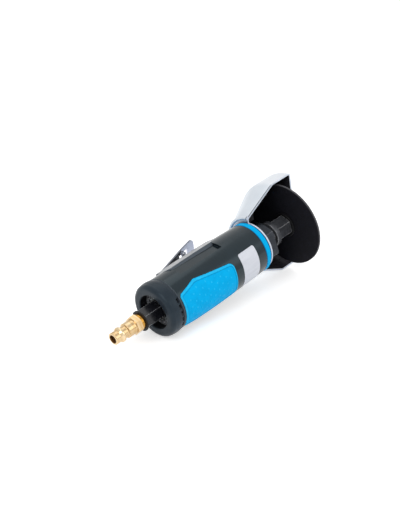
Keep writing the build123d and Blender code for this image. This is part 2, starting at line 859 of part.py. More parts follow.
def safety_latch():
    # Drawn with its foot along -Y, then leant back about its pin
    foot_y = latch_foot_r - latch_foot_reach
    foot = outline(
        (-latch_root_half, 0), (latch_root_half, 0), (latch_foot_r, foot_y), (-latch_foot_r, foot_y)
    )
    foot += Pos(0, foot_y) * Circle(latch_foot_r)
    tab_y = latch_tab_reach - latch_tab_r
    tab = Pos(0, tab_y / 2) * Rectangle(2 * latch_tab_r, tab_y) + Pos(0, tab_y) * Circle(latch_tab_r)
    latch = slab(Circle(latch_barrel_r) + foot + tab, -latch_width / 2, latch_width / 2)
    coil_room_r = latch_coil_r + latch_wire_d / 2 + latch_gap
    coil_length = latch_coil_turns * latch_coil_pitch + latch_wire_d
    latch -= Cylinder(coil_room_r, coil_length + 2 * turn_gap)
    latch -= Cylinder(latch_pin_r + slip_fit, 2 * latch_width)
    return Pos(latch_x, latch_y, 0) * Rot(0, 0, -latch_lean_deg) * latch


def latch_spring():
    spring = coil("latch_spring", latch_coil_r, latch_coil_pitch, latch_coil_turns, latch_wire_d)
    middle = latch_coil_turns * latch_coil_pitch / 2
    return Pos(latch_x, latch_y, middle) * Rot(0, 90, 0) * spring


def valve_stem():
    dome_y = valve_stem_tip_y - valve_stem_r
    stem = turned(
        (valve_head_floor_y, 0),
        (valve_head_floor_y, valve_head_r, valve_head_edge_r),
        (valve_head_top_y, valve_head_r, valve_head_edge_r),
        (valve_head_top_y, valve_stem_r),
        (dome_y, valve_stem_r),
        (dome_y, 0),
    )
    return across(stem + Pos(dome_y, 0, 0) * Sphere(valve_stem_r))


def valve_seal():
    top_y = valve_seat_y - slip_fit
    return across(tube(top_y - valve_seal_thickness, top_y, valve_stem_r + slip_fit, valve_seal_r))


def valve_bushing():
    flange_y = lever_pocket_y + slip_fit
    top_y = flange_y + valve_flange_thickness
    chamber_top_y = valve_seat_y + valve_chamber_length
    outer_r, bore_r = valve_bore_r - slip_fit, valve_stem_r + slip_fit
    body = turned(
        (valve_seat_y, valve_chamber_r),
        (chamber_top_y, valve_chamber_r),
        (chamber_top_y, bore_r),
        (top_y, bore_r),
        (top_y, valve_bore_r + valve_flange_width, valve_flange_edge_r),
        (flange_y, valve_bore_r + valve_flange_width),
        (flange_y, outer_r),
        (valve_seat_y, outer_r),
    )
    ring_y = valve_seat_y + valve_oring_height
    half = valve_oring_wire_r + seat_gap
    body -= rod(ring_y - half, ring_y + half, valve_stem_r + 2 * half)
    port = Pos(valve_seat_y + valve_port_height, -valve_bore_r, 0) * Rot(90, 0, 0)
    return across(body - port * Cylinder(valve_port_r, 2 * valve_bore_r))


def stem_oring():
    ring = Torus(valve_stem_r + valve_oring_wire_r + seat_gap, valve_oring_wire_r)
    return across(Pos(valve_seat_y + valve_oring_height, 0, 0) * Rot(0, 90, 0) * ring)


def valve_spring():
    start_y = valve_floor_y + seat_gap + valve_wire_d / 2
    length = valve_head_floor_y - seat_gap - valve_wire_d / 2 - start_y
    spring = coil("valve_spring", valve_coil_r, length / valve_coil_turns, valve_coil_turns, valve_wire_d)
    return across(Pos(start_y, 0, 0) * spring)


def dowel_places():
    orbit = (motor_bore_r + cylinder_bore_r - cylinder_offset) / 2
    return [Pos(cylinder_rear_x, 0, -orbit), Pos(cylinder_front_x, 0, -orbit)]


def dowel_holes():
    half = dowel_length / 2 + seat_gap
    return [place * rod(-half, half, dowel_r + slip_fit) for place in dowel_places()]


def locating_dowels():
    pins = [place * rod(-dowel_length / 2, dowel_length / 2, dowel_r) for place in dowel_places()]
    return Compound([pin.solid() for pin in pins])


def motor_cylinder():
    past = cutter_overrun
    cylinder = rod(cylinder_rear_x, cylinder_front_x, motor_body_r)
    bore = rod(cylinder_rear_x - past, cylinder_front_x + past, cylinder_bore_r)
    cylinder -= Pos(0, 0, cylinder_offset) * bore
    first_x = (cylinder_rear_x + cylinder_front_x - cylinder_port_pitch * (cylinder_port_count - 1)) / 2
    for n in range(cylinder_port_count):
        port = Pos(first_x + n * cylinder_port_pitch, -motor_bore_r, 0) * Rot(90, 0, 0)
        cylinder -= port * Cylinder(cylinder_port_r, motor_bore_r)
    return cylinder - dowel_holes()


def rear_end_plate():
    past = cutter_overrun
    plate = rod(rear_plate_x, cylinder_rear_x, motor_body_r)
    plate -= rod(rear_plate_x - past, cylinder_rear_x - end_plate_web, rear_bearing_od / 2 + slip_fit)
    plate -= rod(rear_plate_x, cylinder_rear_x + past, rear_bearing_bore / 2 + end_plate_shaft_gap)
    return plate - dowel_holes()


def front_end_plate():
    past = cutter_overrun
    plate = rod(cylinder_front_x, front_plate_x, motor_body_r)
    plate -= rod(front_bearing_x, front_plate_x + past, front_bearing_od / 2 + slip_fit)
    plate -= rod(cylinder_front_x - past, front_plate_x, front_bearing_bore / 2 + end_plate_shaft_gap)
    return plate - dowel_holes()


def rotor():
    rear_x, front_x = cylinder_rear_x + rotor_end_gap, cylinder_front_x - rotor_end_gap
    shaft = rod(rear_x, front_x, rotor_r)
    shaft += rod(rear_plate_x + seat_gap, rear_x, rear_bearing_bore / 2 - slip_fit)
    shaft += rod(front_x, 0, front_bearing_bore / 2 - slip_fit)
    shaft += rod(0, arbor_thread_length, arbor_thread_r)
    slot_half = vane_thickness / 2 + slip_fit
    slot = block(rear_x, front_x, vane_root_r - seat_gap, rotor_r + cutter_overrun, slot_half)
    return shaft - ring_of(slot, vane_count)


def rotor_vanes():
    rear_x, front_x = cylinder_rear_x + 2 * rotor_end_gap, cylinder_front_x - 2 * rotor_end_gap
    vane = block(rear_x, front_x, vane_root_r, rotor_r - slip_fit, vane_thickness / 2)
    return Compound([blade.solid() for blade in ring_of(vane, vane_count)])


def ball_bearing(x, bore, od, width, wall, ball_r, count):
    # Outer ring, inner ring and balls of one bearing
    orbit = (bore + od) / 4
    middle = Pos(x + width / 2, 0, 0)
    groove = middle * Rot(0, 90, 0) * Torus(orbit, ball_r + slip_fit)
    outer = tube(x, x + width, od / 2 - wall, od / 2) - groove
    inner = tube(x, x + width, bore / 2, bore / 2 + wall) - groove
    balls = ring_of(middle * Pos(0, orbit, 0) * Sphere(ball_r), count)
    return outer, inner, Compound([ball.solid() for ball in balls])


def guard():
    # Bell of bent sheet on a full flat ring, cut off level a little past its middle
    back = [
        (guard_play, guard_hole_r),
        (guard_play, guard_cone_r),
        (guard_rim_rear_x, guard_rim_r),
        (guard_front_x, guard_rim_r),
        (guard_front_x, guard_rim_r - guard_lip_width),
    ]
    bends = [guard_foot_bend_r, guard_rim_bend_r, guard_lip_bend_r]
    bell = around(revolve(bent_sheet(back, bends, guard_sheet), Axis.X, 180), -90)
    bell -= block(0, 2 * guard_front_x, -guard_cut_y, guard_cut_y, 2 * guard_rim_r)
    ring = tube(guard_play, guard_play + guard_sheet, guard_hole_r, guard_hole_r + guard_plate_width)
    return around(bell, -guard_cut_turn) + ring


def clamp_nut():
    nut = chamfered_hexagon(nut_rear_x, nut_front_x, nut_hex_flats, nut_chamfer, nut_hex_turn)
    nut += rod(-nut_neck_length, nut_rear_x + cutter_overrun, motor_body_r)
    nut -= rod(-nut_neck_length - cutter_overrun, nut_front_x + cutter_overrun, arbor_sleeve_r + nut_bore_gap)
    return nut - rod(seal_front_x - seal_width, seal_front_x, seal_groove_r)


def dust_seal():
    rear_x, front_x = seal_front_x - seal_width + slip_fit, seal_front_x - slip_fit
    return tube(rear_x, front_x, arbor_sleeve_r + slip_fit, seal_groove_r - slip_fit)


def disc_arbor():
    body = turned(
        (arbor_rear_x, 0),
        (arbor_rear_x, arbor_sleeve_r),
        (arbor_collar_x, arbor_sleeve_r),
        (arbor_collar_x, arbor_collar_r, arbor_collar_edge_r),
        (arbor_cone_x, arbor_collar_r, arbor_collar_edge_r),
        (arbor_hex_x, arbor_hex_flats / 2),
        (arbor_hex_x, 0),
    )
    body += chamfered_hexagon(arbor_cone_x, arbor_front_x, arbor_hex_flats, arbor_hex_chamfer, arbor_hex_turn)
    body -= rod(arbor_rear_x - cutter_overrun, slip_fit, front_bearing_bore / 2)
    body -= rod(0, arbor_thread_length + seat_gap, arbor_thread_r + slip_fit)
    return body - rod(screw_end_x - seat_gap, arbor_front_x + cutter_overrun, screw_r + slip_fit)


def inner_flange():
    front_x = inner_flange_x + flange_thickness
    pilot_end_x = disc_x + disc_thickness - seat_gap
    hole_r = screw_r + seat_gap
    return turned(
        (inner_flange_x, hole_r),
        (pilot_end_x, hole_r),
        (pilot_end_x, pilot_r),
        (front_x, pilot_r),
        (front_x, flange_r),
        (inner_flange_x, flange_r, flange_edge_r),
    )


def cutting_disc():
    return tube(disc_x, disc_x + disc_thickness, pilot_r + slip_fit, disc_r)


def outer_flange():
    front_x = outer_flange_x + flange_thickness
    hole_r = screw_r + seat_gap
    return turned(
        (outer_flange_x, hole_r),
        (front_x, hole_r),
        (front_x, flange_r, flange_edge_r),
        (outer_flange_x, flange_r),
    )


def disc_screw():
    front_x = screw_head_x + screw_head_height
    screw = turned(
        (screw_end_x, 0),
        (screw_end_x, screw_r, screw_end_round_r),
        (screw_head_x, screw_r),
        (screw_head_x, screw_head_r),
        (front_x, screw_head_r, screw_head_round_r),
        (front_x, 0),
    )
    return screw - hexagon(front_x - screw_socket_depth, front_x + cutter_overrun, screw_socket_flats, 0)


def rest_place(pieces):
    # Lays the tool nose up on the guard's rim bend and the rear cap's rounded edge, centred on the origin
    cone = math.atan2(guard_rim_r - guard_cone_r, guard_rim_rear_x - guard_play)
    bend = Vector(guard_rim_rear_x + guard_rim_bend_r * math.tan(cone / 2), guard_rim_bend_r - guard_rim_r)
    edge = Vector(cap_rear_x + cap_round_r, cap_round_r - cap_rear_r)
    apart = bend - edge
    tilt = math.asin((guard_rim_bend_r - cap_round_r) / apart.length) - math.atan2(apart.Y, apart.X)
    tilted = Rot(0, -math.degrees(tilt), 0)
    box = Compound([tilted * piece for piece in pieces]).bounding_box()
    middle = (box.min + box.max) / 2
    return Pos(-middle.X, -middle.Y, -box.min.Z) * tilted


rear_bearing_outer, rear_bearing_inner, rear_bearing_balls = ball_bearing(
    rear_plate_x + slip_fit,
    rear_bearing_bore,
    rear_bearing_od,
    rear_bearing_width,
    rear_bearing_wall,
    rear_ball_r,
    rear_ball_count,
)
front_bearing_outer, front_bearing_inner, front_bearing_balls = ball_bearing(
    front_bearing_x,
    front_bearing_bore,
    front_bearing_od,
    front_bearing_width,
    front_bearing_wall,
    front_ball_r,
    front_ball_count,
)

nodes = {
    "handle_housing": handle_housing(),
    "palm_pad": palm_pad(),
    "rating_plate": rating_plate(),
    "front_ring": front_ring(),
    "rear_cap": rear_cap(),
    "cap_retaining_ring": cap_retaining_ring(),
    "exhaust_screen": exhaust_screen(),
    "inlet_bushing": inlet_bushing(),
    "bushing_seal": bushing_seal(),
    "inlet_strainer": inlet_strainer(),
    "plug_washer": plug_washer(),
    "coupling_plug": coupling_plug(),
    "throttle_lever": throttle_lever(),
    "lever_pin": lever_pin(),
    "safety_latch": safety_latch(),
    "latch_pin": latch_pin(),
    "latch_spring": latch_spring(),
    "valve_stem": valve_stem(),
    "valve_seal": valve_seal(),
    "valve_bushing": valve_bushing(),
    "stem_oring": stem_oring(),
    "valve_spring": valve_spring(),
    "motor_cylinder": motor_cylinder(),
    "locating_dowels": locating_dowels(),
    "rear_end_plate": rear_end_plate(),
    "front_end_plate": front_end_plate(),
    "rotor": rotor(),
    "rotor_vanes": rotor_vanes(),
    "rear_bearing_outer": rear_bearing_outer,
    "rear_bearing_inner": rear_bearing_inner,
    "rear_bearing_balls": rear_bearing_balls,
    "front_bearing_outer": front_bearing_outer,
    "front_bearing_inner": front_bearing_inner,
    "front_bearing_balls": front_bearing_balls,
    "guard": guard(),
    "clamp_nut": clamp_nut(),
    "dust_seal": dust_seal(),
    "disc_arbor": disc_arbor(),
    "inner_flange": inner_flange(),
    "cutting_disc": cutting_disc(),
    "outer_flange": outer_flange(),
    "disc_screw": disc_screw(),
}

rest = rest_place(nodes.values())
os.makedirs("parts", exist_ok=True)
for name, piece in nodes.items():
    export_step(rest * piece, f"parts/{name}.step")
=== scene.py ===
import bpy
import bmesh
import json
import math
import numpy as np
from mathutils import Matrix, Vector


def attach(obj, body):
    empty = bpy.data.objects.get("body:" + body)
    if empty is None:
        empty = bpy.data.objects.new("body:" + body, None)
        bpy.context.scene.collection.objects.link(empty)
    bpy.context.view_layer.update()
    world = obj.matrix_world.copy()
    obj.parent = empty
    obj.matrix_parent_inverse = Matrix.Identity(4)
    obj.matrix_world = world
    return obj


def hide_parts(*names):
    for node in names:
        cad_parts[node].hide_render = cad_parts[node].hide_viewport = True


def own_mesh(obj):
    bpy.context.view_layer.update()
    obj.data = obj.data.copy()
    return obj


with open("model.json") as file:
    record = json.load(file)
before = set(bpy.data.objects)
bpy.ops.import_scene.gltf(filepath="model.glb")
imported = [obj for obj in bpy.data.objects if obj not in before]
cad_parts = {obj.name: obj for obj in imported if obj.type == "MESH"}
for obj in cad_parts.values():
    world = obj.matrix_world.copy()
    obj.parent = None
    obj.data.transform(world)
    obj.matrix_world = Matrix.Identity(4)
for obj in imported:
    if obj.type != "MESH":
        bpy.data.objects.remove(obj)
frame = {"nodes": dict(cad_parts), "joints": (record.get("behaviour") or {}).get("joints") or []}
for startName in ("Cube", "Light", "Camera"):  # what a fresh Blender file holds
    startThing = bpy.data.objects.get(startName)
    if startThing:
        bpy.data.objects.remove(startThing)
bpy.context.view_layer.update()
print("frame loaded,", len(frame["nodes"]), "nodes")

# The tool's own frame in millimetres: x along the spindle, y to the lever, z up, zero at the housing's front
mm = 0.001
perMetre = 1000
jointOf = {joint["name"]: joint for joint in frame["joints"]}
alongTool = Vector(jointOf["spindle_spin"]["axis"]).normalized()
acrossTool = Vector((0.0, 1.0, 0.0))
upTool = alongTool.cross(acrossTool)
toolFrame = Matrix((alongTool, acrossTool, upTool)).transposed().to_4x4()
toolFrame.translation = Vector(jointOf["guard_turn"]["pos_m"])
toolBack = toolFrame.inverted()


def place(x, y, z):
    return toolFrame @ (Vector((x, y, z)) * mm)


def srgb(red, green, blue):
    linear = []
    for level in (red / 255, green / 255, blue / 255):
        linear.append(level / 12.92 if level <= 0.04045 else ((level + 0.055) / 1.055) ** 2.4)
    return (*linear, 1.0)


# Node helpers
def addNode(tree, kind, **settings):
    node = tree.nodes.new(kind)
    for key, value in settings.items():
        if key in node.inputs:
            node.inputs[key].default_value = value
        else:
            setattr(node, key, value)
    return node


def startMaterial(name):
    material = bpy.data.materials.new(name)
    material.use_nodes = True
    tree = material.node_tree
    return material, tree, tree.nodes["Principled BSDF"]


def feed(tree, socket, value):  # a node's output is linked, a plain value is set
    if isinstance(value, bpy.types.NodeSocket):
        tree.links.new(value, socket)
    else:
        socket.default_value = value


def toolVector(tree, stretch=(1, 1, 1)):
    coords = addNode(tree, "ShaderNodeTexCoord")
    turn = addNode(tree, "ShaderNodeMapping", vector_type="TEXTURE")
    turn.inputs["Location"].default_value = toolFrame.translation
    turn.inputs["Rotation"].default_value = toolFrame.to_euler()
    turn.inputs["Scale"].default_value = stretch
    tree.links.new(coords.outputs["Object"], turn.inputs["Vector"])
    return turn.outputs["Vector"]


def noise(tree, vector, size, detail, rough):  # size in mm
    node = addNode(tree, "ShaderNodeTexNoise", Scale=perMetre / size, Detail=detail, Roughness=rough)
    tree.links.new(vector, node.inputs["Vector"])
    return node.outputs["Fac"]


def ramp(tree, value, stops):
    node = addNode(tree, "ShaderNodeValToRGB")
    while len(node.color_ramp.elements) < len(stops):
        node.color_ramp.elements.new(0.5)
    for element, (position, colour) in zip(node.color_ramp.elements, stops):
        element.position = position
        element.color = colour
    tree.links.new(value, node.inputs["Fac"])
    return node.outputs["Color"]


def spread(tree, value, low, high, toLow, toHigh):
    node = addNode(tree, "ShaderNodeMapRange")
    for key, number in zip(("From Min", "From Max", "To Min", "To Max"), (low, high, toLow, toHigh)):
        node.inputs[key].default_value = number
    tree.links.new(value, node.inputs["Value"])
    return node.outputs["Result"]


def blendColours(tree, factor, first, second):
    node = addNode(tree, "ShaderNodeMix", data_type="RGBA")
    for index, value in ((0, factor), (6, first), (7, second)):  # a mix node's sockets for colours
        feed(tree, node.inputs[index], value)
    return node.outputs[2]


def calc(tree, operation, first, second):
    node = addNode(tree, "ShaderNodeMath", operation=operation)
    feed(tree, node.inputs[0], first)
    feed(tree, node.inputs[1], second)
    return node.outputs[0]


def roundedNormal(tree, radius):
    return addNode(tree, "ShaderNodeBevel", samples=6, Radius=radius * mm).outputs["Normal"]


def edgeMask(tree, radius, start, full):  # start and full are cosines of the bend at the edge
    surface = addNode(tree, "ShaderNodeNewGeometry")
    bent = addNode(tree, "ShaderNodeVectorMath", operation="DOT_PRODUCT")
    tree.links.new(roundedNormal(tree, radius), bent.inputs[0])
    tree.links.new(surface.outputs["Normal"], bent.inputs[1])
    return spread(tree, bent.outputs["Value"], start, full, 0.0, 1.0)


def bump(tree, height, depth, normal):
    node = addNode(tree, "ShaderNodeBump", Strength=1.0, Distance=depth * mm)
    tree.links.new(height, node.inputs["Height"])
    tree.links.new(normal, node.inputs["Normal"])
    return node.outputs["Normal"]


# One recipe for the plain finishes: mottled colour, grain, and paler rounded edges that are partly wear and
# partly painted highlight. Sizes are in mm
plainDefaults = dict(stretch=(1, 1, 1), specular=0.5, tint=(1, 1, 1, 1), round=0.25, mottleLow=0.3,
                     mottleHigh=0.7, mottleDetail=4.0, grainDetail=2.0, glossDetail=3.0, glossPatch=0.4,
                     noiseRough=0.55, edgeStart=0.99, edgeFull=0.80, edgeLeast=0.25, patchLow=0.35,
                     patchHigh=0.65)


def plainFinish(name, ownLook):
    look = dict(plainDefaults, **ownLook)
    material, tree, shader = startMaterial(name)
    vector = toolVector(tree, look["stretch"])
    mottle = noise(tree, vector, look["mottle"], look["mottleDetail"], look["noiseRough"])
    grain = noise(tree, vector, look["grain"], look["grainDetail"], look["noiseRough"])
    stops = ((look["mottleLow"], srgb(*look["dark"])), (look["mottleHigh"], srgb(*look["light"])))
    colour = ramp(tree, mottle, stops)
    # Paler rounded edges: part wear, part painted highlight along the edge
    if "edge" in look:
        patchy = spread(tree, mottle, look["patchLow"], look["patchHigh"], look["edgeLeast"], 1.0)
        wearAndGlint = edgeMask(tree, look["edgeWidth"], look["edgeStart"], look["edgeFull"])
        wearAndGlint = calc(tree, "MULTIPLY", calc(tree, "MULTIPLY", wearAndGlint, patchy), look["edgeAmount"])
        colour = blendColours(tree, wearAndGlint, colour, srgb(*look["edge"]))
    tree.links.new(colour, shader.inputs["Base Color"])
    shader.inputs["Metallic"].default_value = look["metallic"]
    shader.inputs["Specular IOR Level"].default_value = look["specular"]
    shader.inputs["Specular Tint"].default_value = look["tint"]
    glossSize = look["mottle"] * look["glossPatch"]
    gloss = noise(tree, vector, glossSize, look["glossDetail"], look["noiseRough"])
    rough = spread(tree, gloss, look["mottleLow"], look["mottleHigh"], look["smooth"], look["rough"])
    tree.links.new(rough, shader.inputs["Roughness"])
    normal = bump(tree, grain, look["depth"], roundedNormal(tree, look["round"]))
    tree.links.new(normal, shader.inputs["Normal"])
    return material


housingLook = dict(dark=(5, 13, 20), light=(11, 21, 29), mottle=9.0, grain=0.4, depth=0.004, metallic=0.0,
                   smooth=0.14, rough=0.22, specular=0.5, tint=(0.72, 0.92, 1.0, 1), edge=(44, 54, 64),
                   edgeWidth=0.5, edgeAmount=0.5, round=0.45)
capLook = dict(housingLook, dark=(32, 40, 49), light=(40, 48, 57), smooth=0.30, rough=0.40, specular=0.22,
               round=0.15)
shoulderLook = dict(housingLook, dark=(12, 20, 36), light=(20, 28, 46), smooth=0.18, rough=0.26)
# Painted light: a lighter tone for the panel walls, the slot walls and the shoulder ramps
panelWallLightLook = dict(housingLook, dark=(70, 76, 84), light=(82, 88, 96), smooth=0.40, rough=0.50,
                     specular=0.3)
# Painted shade for the walls of the exhaust recess
recessShadeLook = dict(dark=(12, 13, 16), light=(20, 21, 25), mottle=4.0, grain=0.3, depth=0.008, metallic=0.0,
                  smooth=0.45, rough=0.6, specular=0.2, round=0.2)
# The grip's paler edge colour is a painted highlight along the pad's outline
gripLook = dict(dark=(0, 172, 234), light=(0, 182, 244), mottle=6.0, grain=0.35, depth=0.012, metallic=0.0,
                smooth=0.46, rough=0.56, specular=0.05, edge=(30, 190, 246), edgeWidth=0.4, edgeAmount=0.4,
                round=0.3)
# Lit and shaded copies of the grip colour: a painted highlight for raised faces, painted shade for the groove
gripRaisedHighlightLook = dict(gripLook, dark=(26, 186, 242), light=(40, 194, 248))
gripGrooveShadeLook = dict(gripLook, dark=(0, 148, 206), light=(0, 158, 216))
plateLook = dict(dark=(206, 209, 218), light=(218, 221, 229), mottle=3.0, grain=0.2, depth=0.003,
                 metallic=0.1, smooth=0.36, rough=0.46, stretch=(8, 1, 1), edge=(230, 232, 238),
                 edgeWidth=0.25, edgeAmount=0.6, round=0.15)
blackSteelLook = dict(dark=(46, 49, 54), light=(60, 63, 68), mottle=5.0, grain=0.3, depth=0.004, metallic=1.0,
                      smooth=0.12, rough=0.20, edge=(150, 152, 157), edgeWidth=0.6, edgeAmount=0.8,
                      edgeFull=0.88, edgeLeast=0.6, round=0.5)
# The arbor's near-white edge colour is a painted highlight on its rounded hex corners
arborLook = dict(dark=(72, 74, 79), light=(90, 92, 97), mottle=3.0, grain=0.2, depth=0.004, metallic=0.45,
                 smooth=0.18, rough=0.28, edge=(250, 250, 252), edgeWidth=0.9, edgeAmount=1.0, edgeFull=0.88,
                 edgeLeast=0.8, round=0.8)
flangeLook = dict(dark=(9, 9, 11), light=(15, 15, 18), mottle=3.0, grain=0.3, depth=0.01, metallic=0.0,
                  smooth=0.50, rough=0.65, specular=0.2, round=0.2)
bushingLook = dict(dark=(16, 17, 21), light=(26, 27, 32), mottle=4.0, grain=0.3, depth=0.004, metallic=0.0,
                   smooth=0.16, rough=0.26, specular=0.4, edge=(190, 192, 196), edgeWidth=0.6, edgeAmount=1.0,
                   edgeFull=0.88, edgeLeast=0.7, round=0.4)
brassLook = dict(dark=(196, 162, 112), light=(224, 203, 168), mottle=4.0, grain=0.16, depth=0.003,
                 metallic=1.0, smooth=0.12, rough=0.20, stretch=(1, 6, 6), edge=(240, 226, 200),
                 edgeWidth=0.25, edgeAmount=0.6, round=0.2)
# Painted shade: darker brass for the plug's neck and its bore
neckShadeLook = dict(brassLook, dark=(172, 122, 46), light=(202, 152, 74))
boreShadeLook = dict(dark=(96, 58, 20), light=(128, 84, 36), mottle=2.0, grain=0.2, depth=0.004, metallic=0.3,
                smooth=0.4, rough=0.55, round=0.1)
rubberLook = dict(dark=(16, 16, 18), light=(24, 24, 26), mottle=3.0, grain=0.2, depth=0.02, metallic=0.0,
                  smooth=0.5, rough=0.65, specular=0.35, round=0.2)
platedLook = dict(dark=(211, 218, 226), light=(220, 227, 234), mottle=16.0, grain=0.6, depth=0.002,
                  metallic=0.9, smooth=0.30, rough=0.36, edge=(240, 243, 246), edgeWidth=0.35,
                  edgeAmount=0.5, round=0.3)
hoodLook = dict(platedLook, metallic=0.5)
leverLook = dict(platedLook, dark=(188, 193, 210), light=(202, 207, 223))
# Painted shade for the lever's sides
leverSideShadeLook = dict(platedLook, dark=(112, 116, 125), light=(128, 132, 141))
cutEdgeLook = dict(dark=(204, 212, 226), light=(222, 229, 241), mottle=1.5, grain=0.15, depth=0.01,
                   metallic=0.2, smooth=0.45, rough=0.6, round=0.1)
# A dark finish for the inside of the guard, also used as painted shade on the lever's underside
darkInsideAndShadeLook = dict(dark=(44, 44, 50), light=(56, 56, 62), mottle=6.0, grain=0.3, depth=0.008, metallic=0.0,
                    smooth=0.26, rough=0.36, specular=0.5, edge=(60, 60, 64), edgeWidth=0.35,
                    edgeAmount=0.4, round=0.3)
brightLook = dict(dark=(188, 190, 194), light=(214, 216, 219), mottle=2.0, grain=0.12, depth=0.002,
                  metallic=1.0, smooth=0.14, rough=0.26, stretch=(1, 5, 5), round=0.15)
valveBrassLook = dict(dark=(196, 156, 86), light=(214, 178, 108), mottle=2.5, grain=0.15, depth=0.003,
                      metallic=1.0, smooth=0.24, rough=0.36, round=0.15)
castIronLook = dict(dark=(86, 87, 90), light=(112, 113, 116), mottle=2.0, grain=0.3, depth=0.02, metallic=0.8,
                    smooth=0.42, rough=0.58, round=0.2)
vaneLook = dict(dark=(98, 70, 42), light=(132, 98, 62), mottle=1.2, grain=0.2, depth=0.01, metallic=0.0,
                smooth=0.5, rough=0.62, stretch=(6, 1, 1), round=0.1)
screenLook = dict(dark=(138, 141, 147), light=(160, 163, 168), mottle=1.5, grain=0.15, depth=0.01,
                  metallic=0.2, smooth=0.38, rough=0.52, round=0.1)

finishes = {
    "handle_polymer": plainFinish("housingPolymer", housingLook),
    "grip_polymer": plainFinish("gripPolymer", gripLook),
    "plate_metal": plainFinish("plateMetal", plateLook),
    "black_steel": plainFinish("blackSteel", blackSteelLook),
    "brass": plainFinish("turnedBrass", brassLook),
    "seal_rubber": plainFinish("sealRubber", rubberLook),
    "plated_steel": plainFinish("platedSteel", platedLook),
    "bright_steel": plainFinish("brightSteel", brightLook),
    "valve_brass": plainFinish("valveBrass", valveBrassLook),
    "end_plate_iron": plainFinish("castIron", castIronLook),
    "vane_composite": plainFinish("vaneComposite", vaneLook),
    "screen_metal": plainFinish("screenMetal", screenLook),
}
capPolymer = plainFinish("capPolymer", capLook)
shoulderPolymer = plainFinish("shoulderPolymer", shoulderLook)
panelWallLight = plainFinish("panelWallLight", panelWallLightLook)
recessShade = plainFinish("recessShade", recessShadeLook)
ringPolymer = plainFinish("ringPolymer", gripLook)
gripRaisedHighlight = plainFinish("gripRaisedHighlight", gripRaisedHighlightLook)
gripGrooveShade = plainFinish("gripGrooveShade", gripGrooveShadeLook)
arborSteel = plainFinish("arborSteel", arborLook)
flangeBlack = plainFinish("flangeBlack", flangeLook)
bushingSteel = plainFinish("bushingSteel", bushingLook)
neckShadeBrass = plainFinish("neckShadeBrass", neckShadeLook)
boreShadeBrass = plainFinish("boreShadeBrass", boreShadeLook)
hoodPlate = plainFinish("hoodPlate", hoodLook)
leverPlate = plainFinish("leverPlate", leverLook)
leverSideShade = plainFinish("leverSideShade", leverSideShadeLook)
cutEdge = plainFinish("cutEdge", cutEdgeLook)
darkInsideAndShade = plainFinish("darkInsideAndShade", darkInsideAndShadeLook)

# Abrasive: dark grit in resin over crossed glass-fibre threads, with a painted highlight that makes the rim
# paler
discLook = dict(resin=(11, 11, 16), grit=(27, 27, 36), gritSize=0.45, gritFrom=0.25, gritTo=0.95,
                gritDepth=0.06, thread=1.6, threadTurn=math.radians(20), threadWarp=0.6, threadTint=0.35,
                threadDepth=0.05, smooth=0.62, rough=0.82, roughTo=0.8, specular=0.15, round=0.3,
                rim=(84, 83, 87), rimFrom=37.0, rimTo=37.4, rimLeast=0.6, rimFull=0.6)
waveFactor = 20  # radians in a wave texture per unit of scale, so threads lie thread * tau mm apart


def reachOf(tree, vector):  # distance from the spindle's axis
    flat = addNode(tree, "ShaderNodeVectorMath", operation="MULTIPLY")
    flat.inputs[1].default_value = (0, 1, 1)
    tree.links.new(vector, flat.inputs[0])
    reach = addNode(tree, "ShaderNodeVectorMath", operation="LENGTH")
    tree.links.new(flat.outputs["Vector"], reach.inputs[0])
    return reach.outputs["Value"]


def crossedThreads(tree, vector, look):
    layers = []
    for turn in (0.0, math.radians(90)):
        lie = addNode(tree, "ShaderNodeMapping")
        lie.inputs["Rotation"].default_value = (turn + look["threadTurn"], 0, 0)
        tree.links.new(vector, lie.inputs["Vector"])
        wave = addNode(tree, "ShaderNodeTexWave", bands_direction="Y", Distortion=look["threadWarp"])
        wave.inputs["Scale"].default_value = perMetre / look["thread"] / waveFactor
        tree.links.new(lie.outputs["Vector"], wave.inputs["Vector"])
        layers.append(wave.outputs["Fac"])
    return calc(tree, "MAXIMUM", *layers)


def abrasiveFinish(name, look):
    material, tree, shader = startMaterial(name)
    vector = toolVector(tree)
    cells = addNode(tree, "ShaderNodeTexVoronoi", Scale=perMetre / look["gritSize"])
    tree.links.new(vector, cells.inputs["Vector"])
    fromGrain = cells.outputs["Distance"]
    threads = crossedThreads(tree, vector, look)
    stops = ((look["gritFrom"], srgb(*look["resin"])), (look["gritTo"], srgb(*look["grit"])))
    colour = ramp(tree, cells.outputs["Color"], stops)
    tint = calc(tree, "MULTIPLY", threads, look["threadTint"])
    colour = blendColours(tree, tint, colour, srgb(*look["resin"]))
    # Painted highlight: the rim is made paler where it catches the light
    atRim = spread(tree, reachOf(tree, vector), look["rimFrom"] * mm, look["rimTo"] * mm, 0.0, 1.0)
    patchy = spread(tree, fromGrain, 0.0, look["rimFull"], look["rimLeast"], 1.0)
    rimGlint = calc(tree, "MULTIPLY", atRim, patchy)  # the rim is paler
    tree.links.new(blendColours(tree, rimGlint, colour, srgb(*look["rim"])), shader.inputs["Base Color"])
    shader.inputs["Specular IOR Level"].default_value = look["specular"]
    rough = spread(tree, fromGrain, 0.0, look["roughTo"], look["smooth"], look["rough"])
    tree.links.new(rough, shader.inputs["Roughness"])
    normal = bump(tree, threads, look["threadDepth"], roundedNormal(tree, look["round"]))
    tree.links.new(bump(tree, fromGrain, look["gritDepth"], normal), shader.inputs["Normal"])
    return material


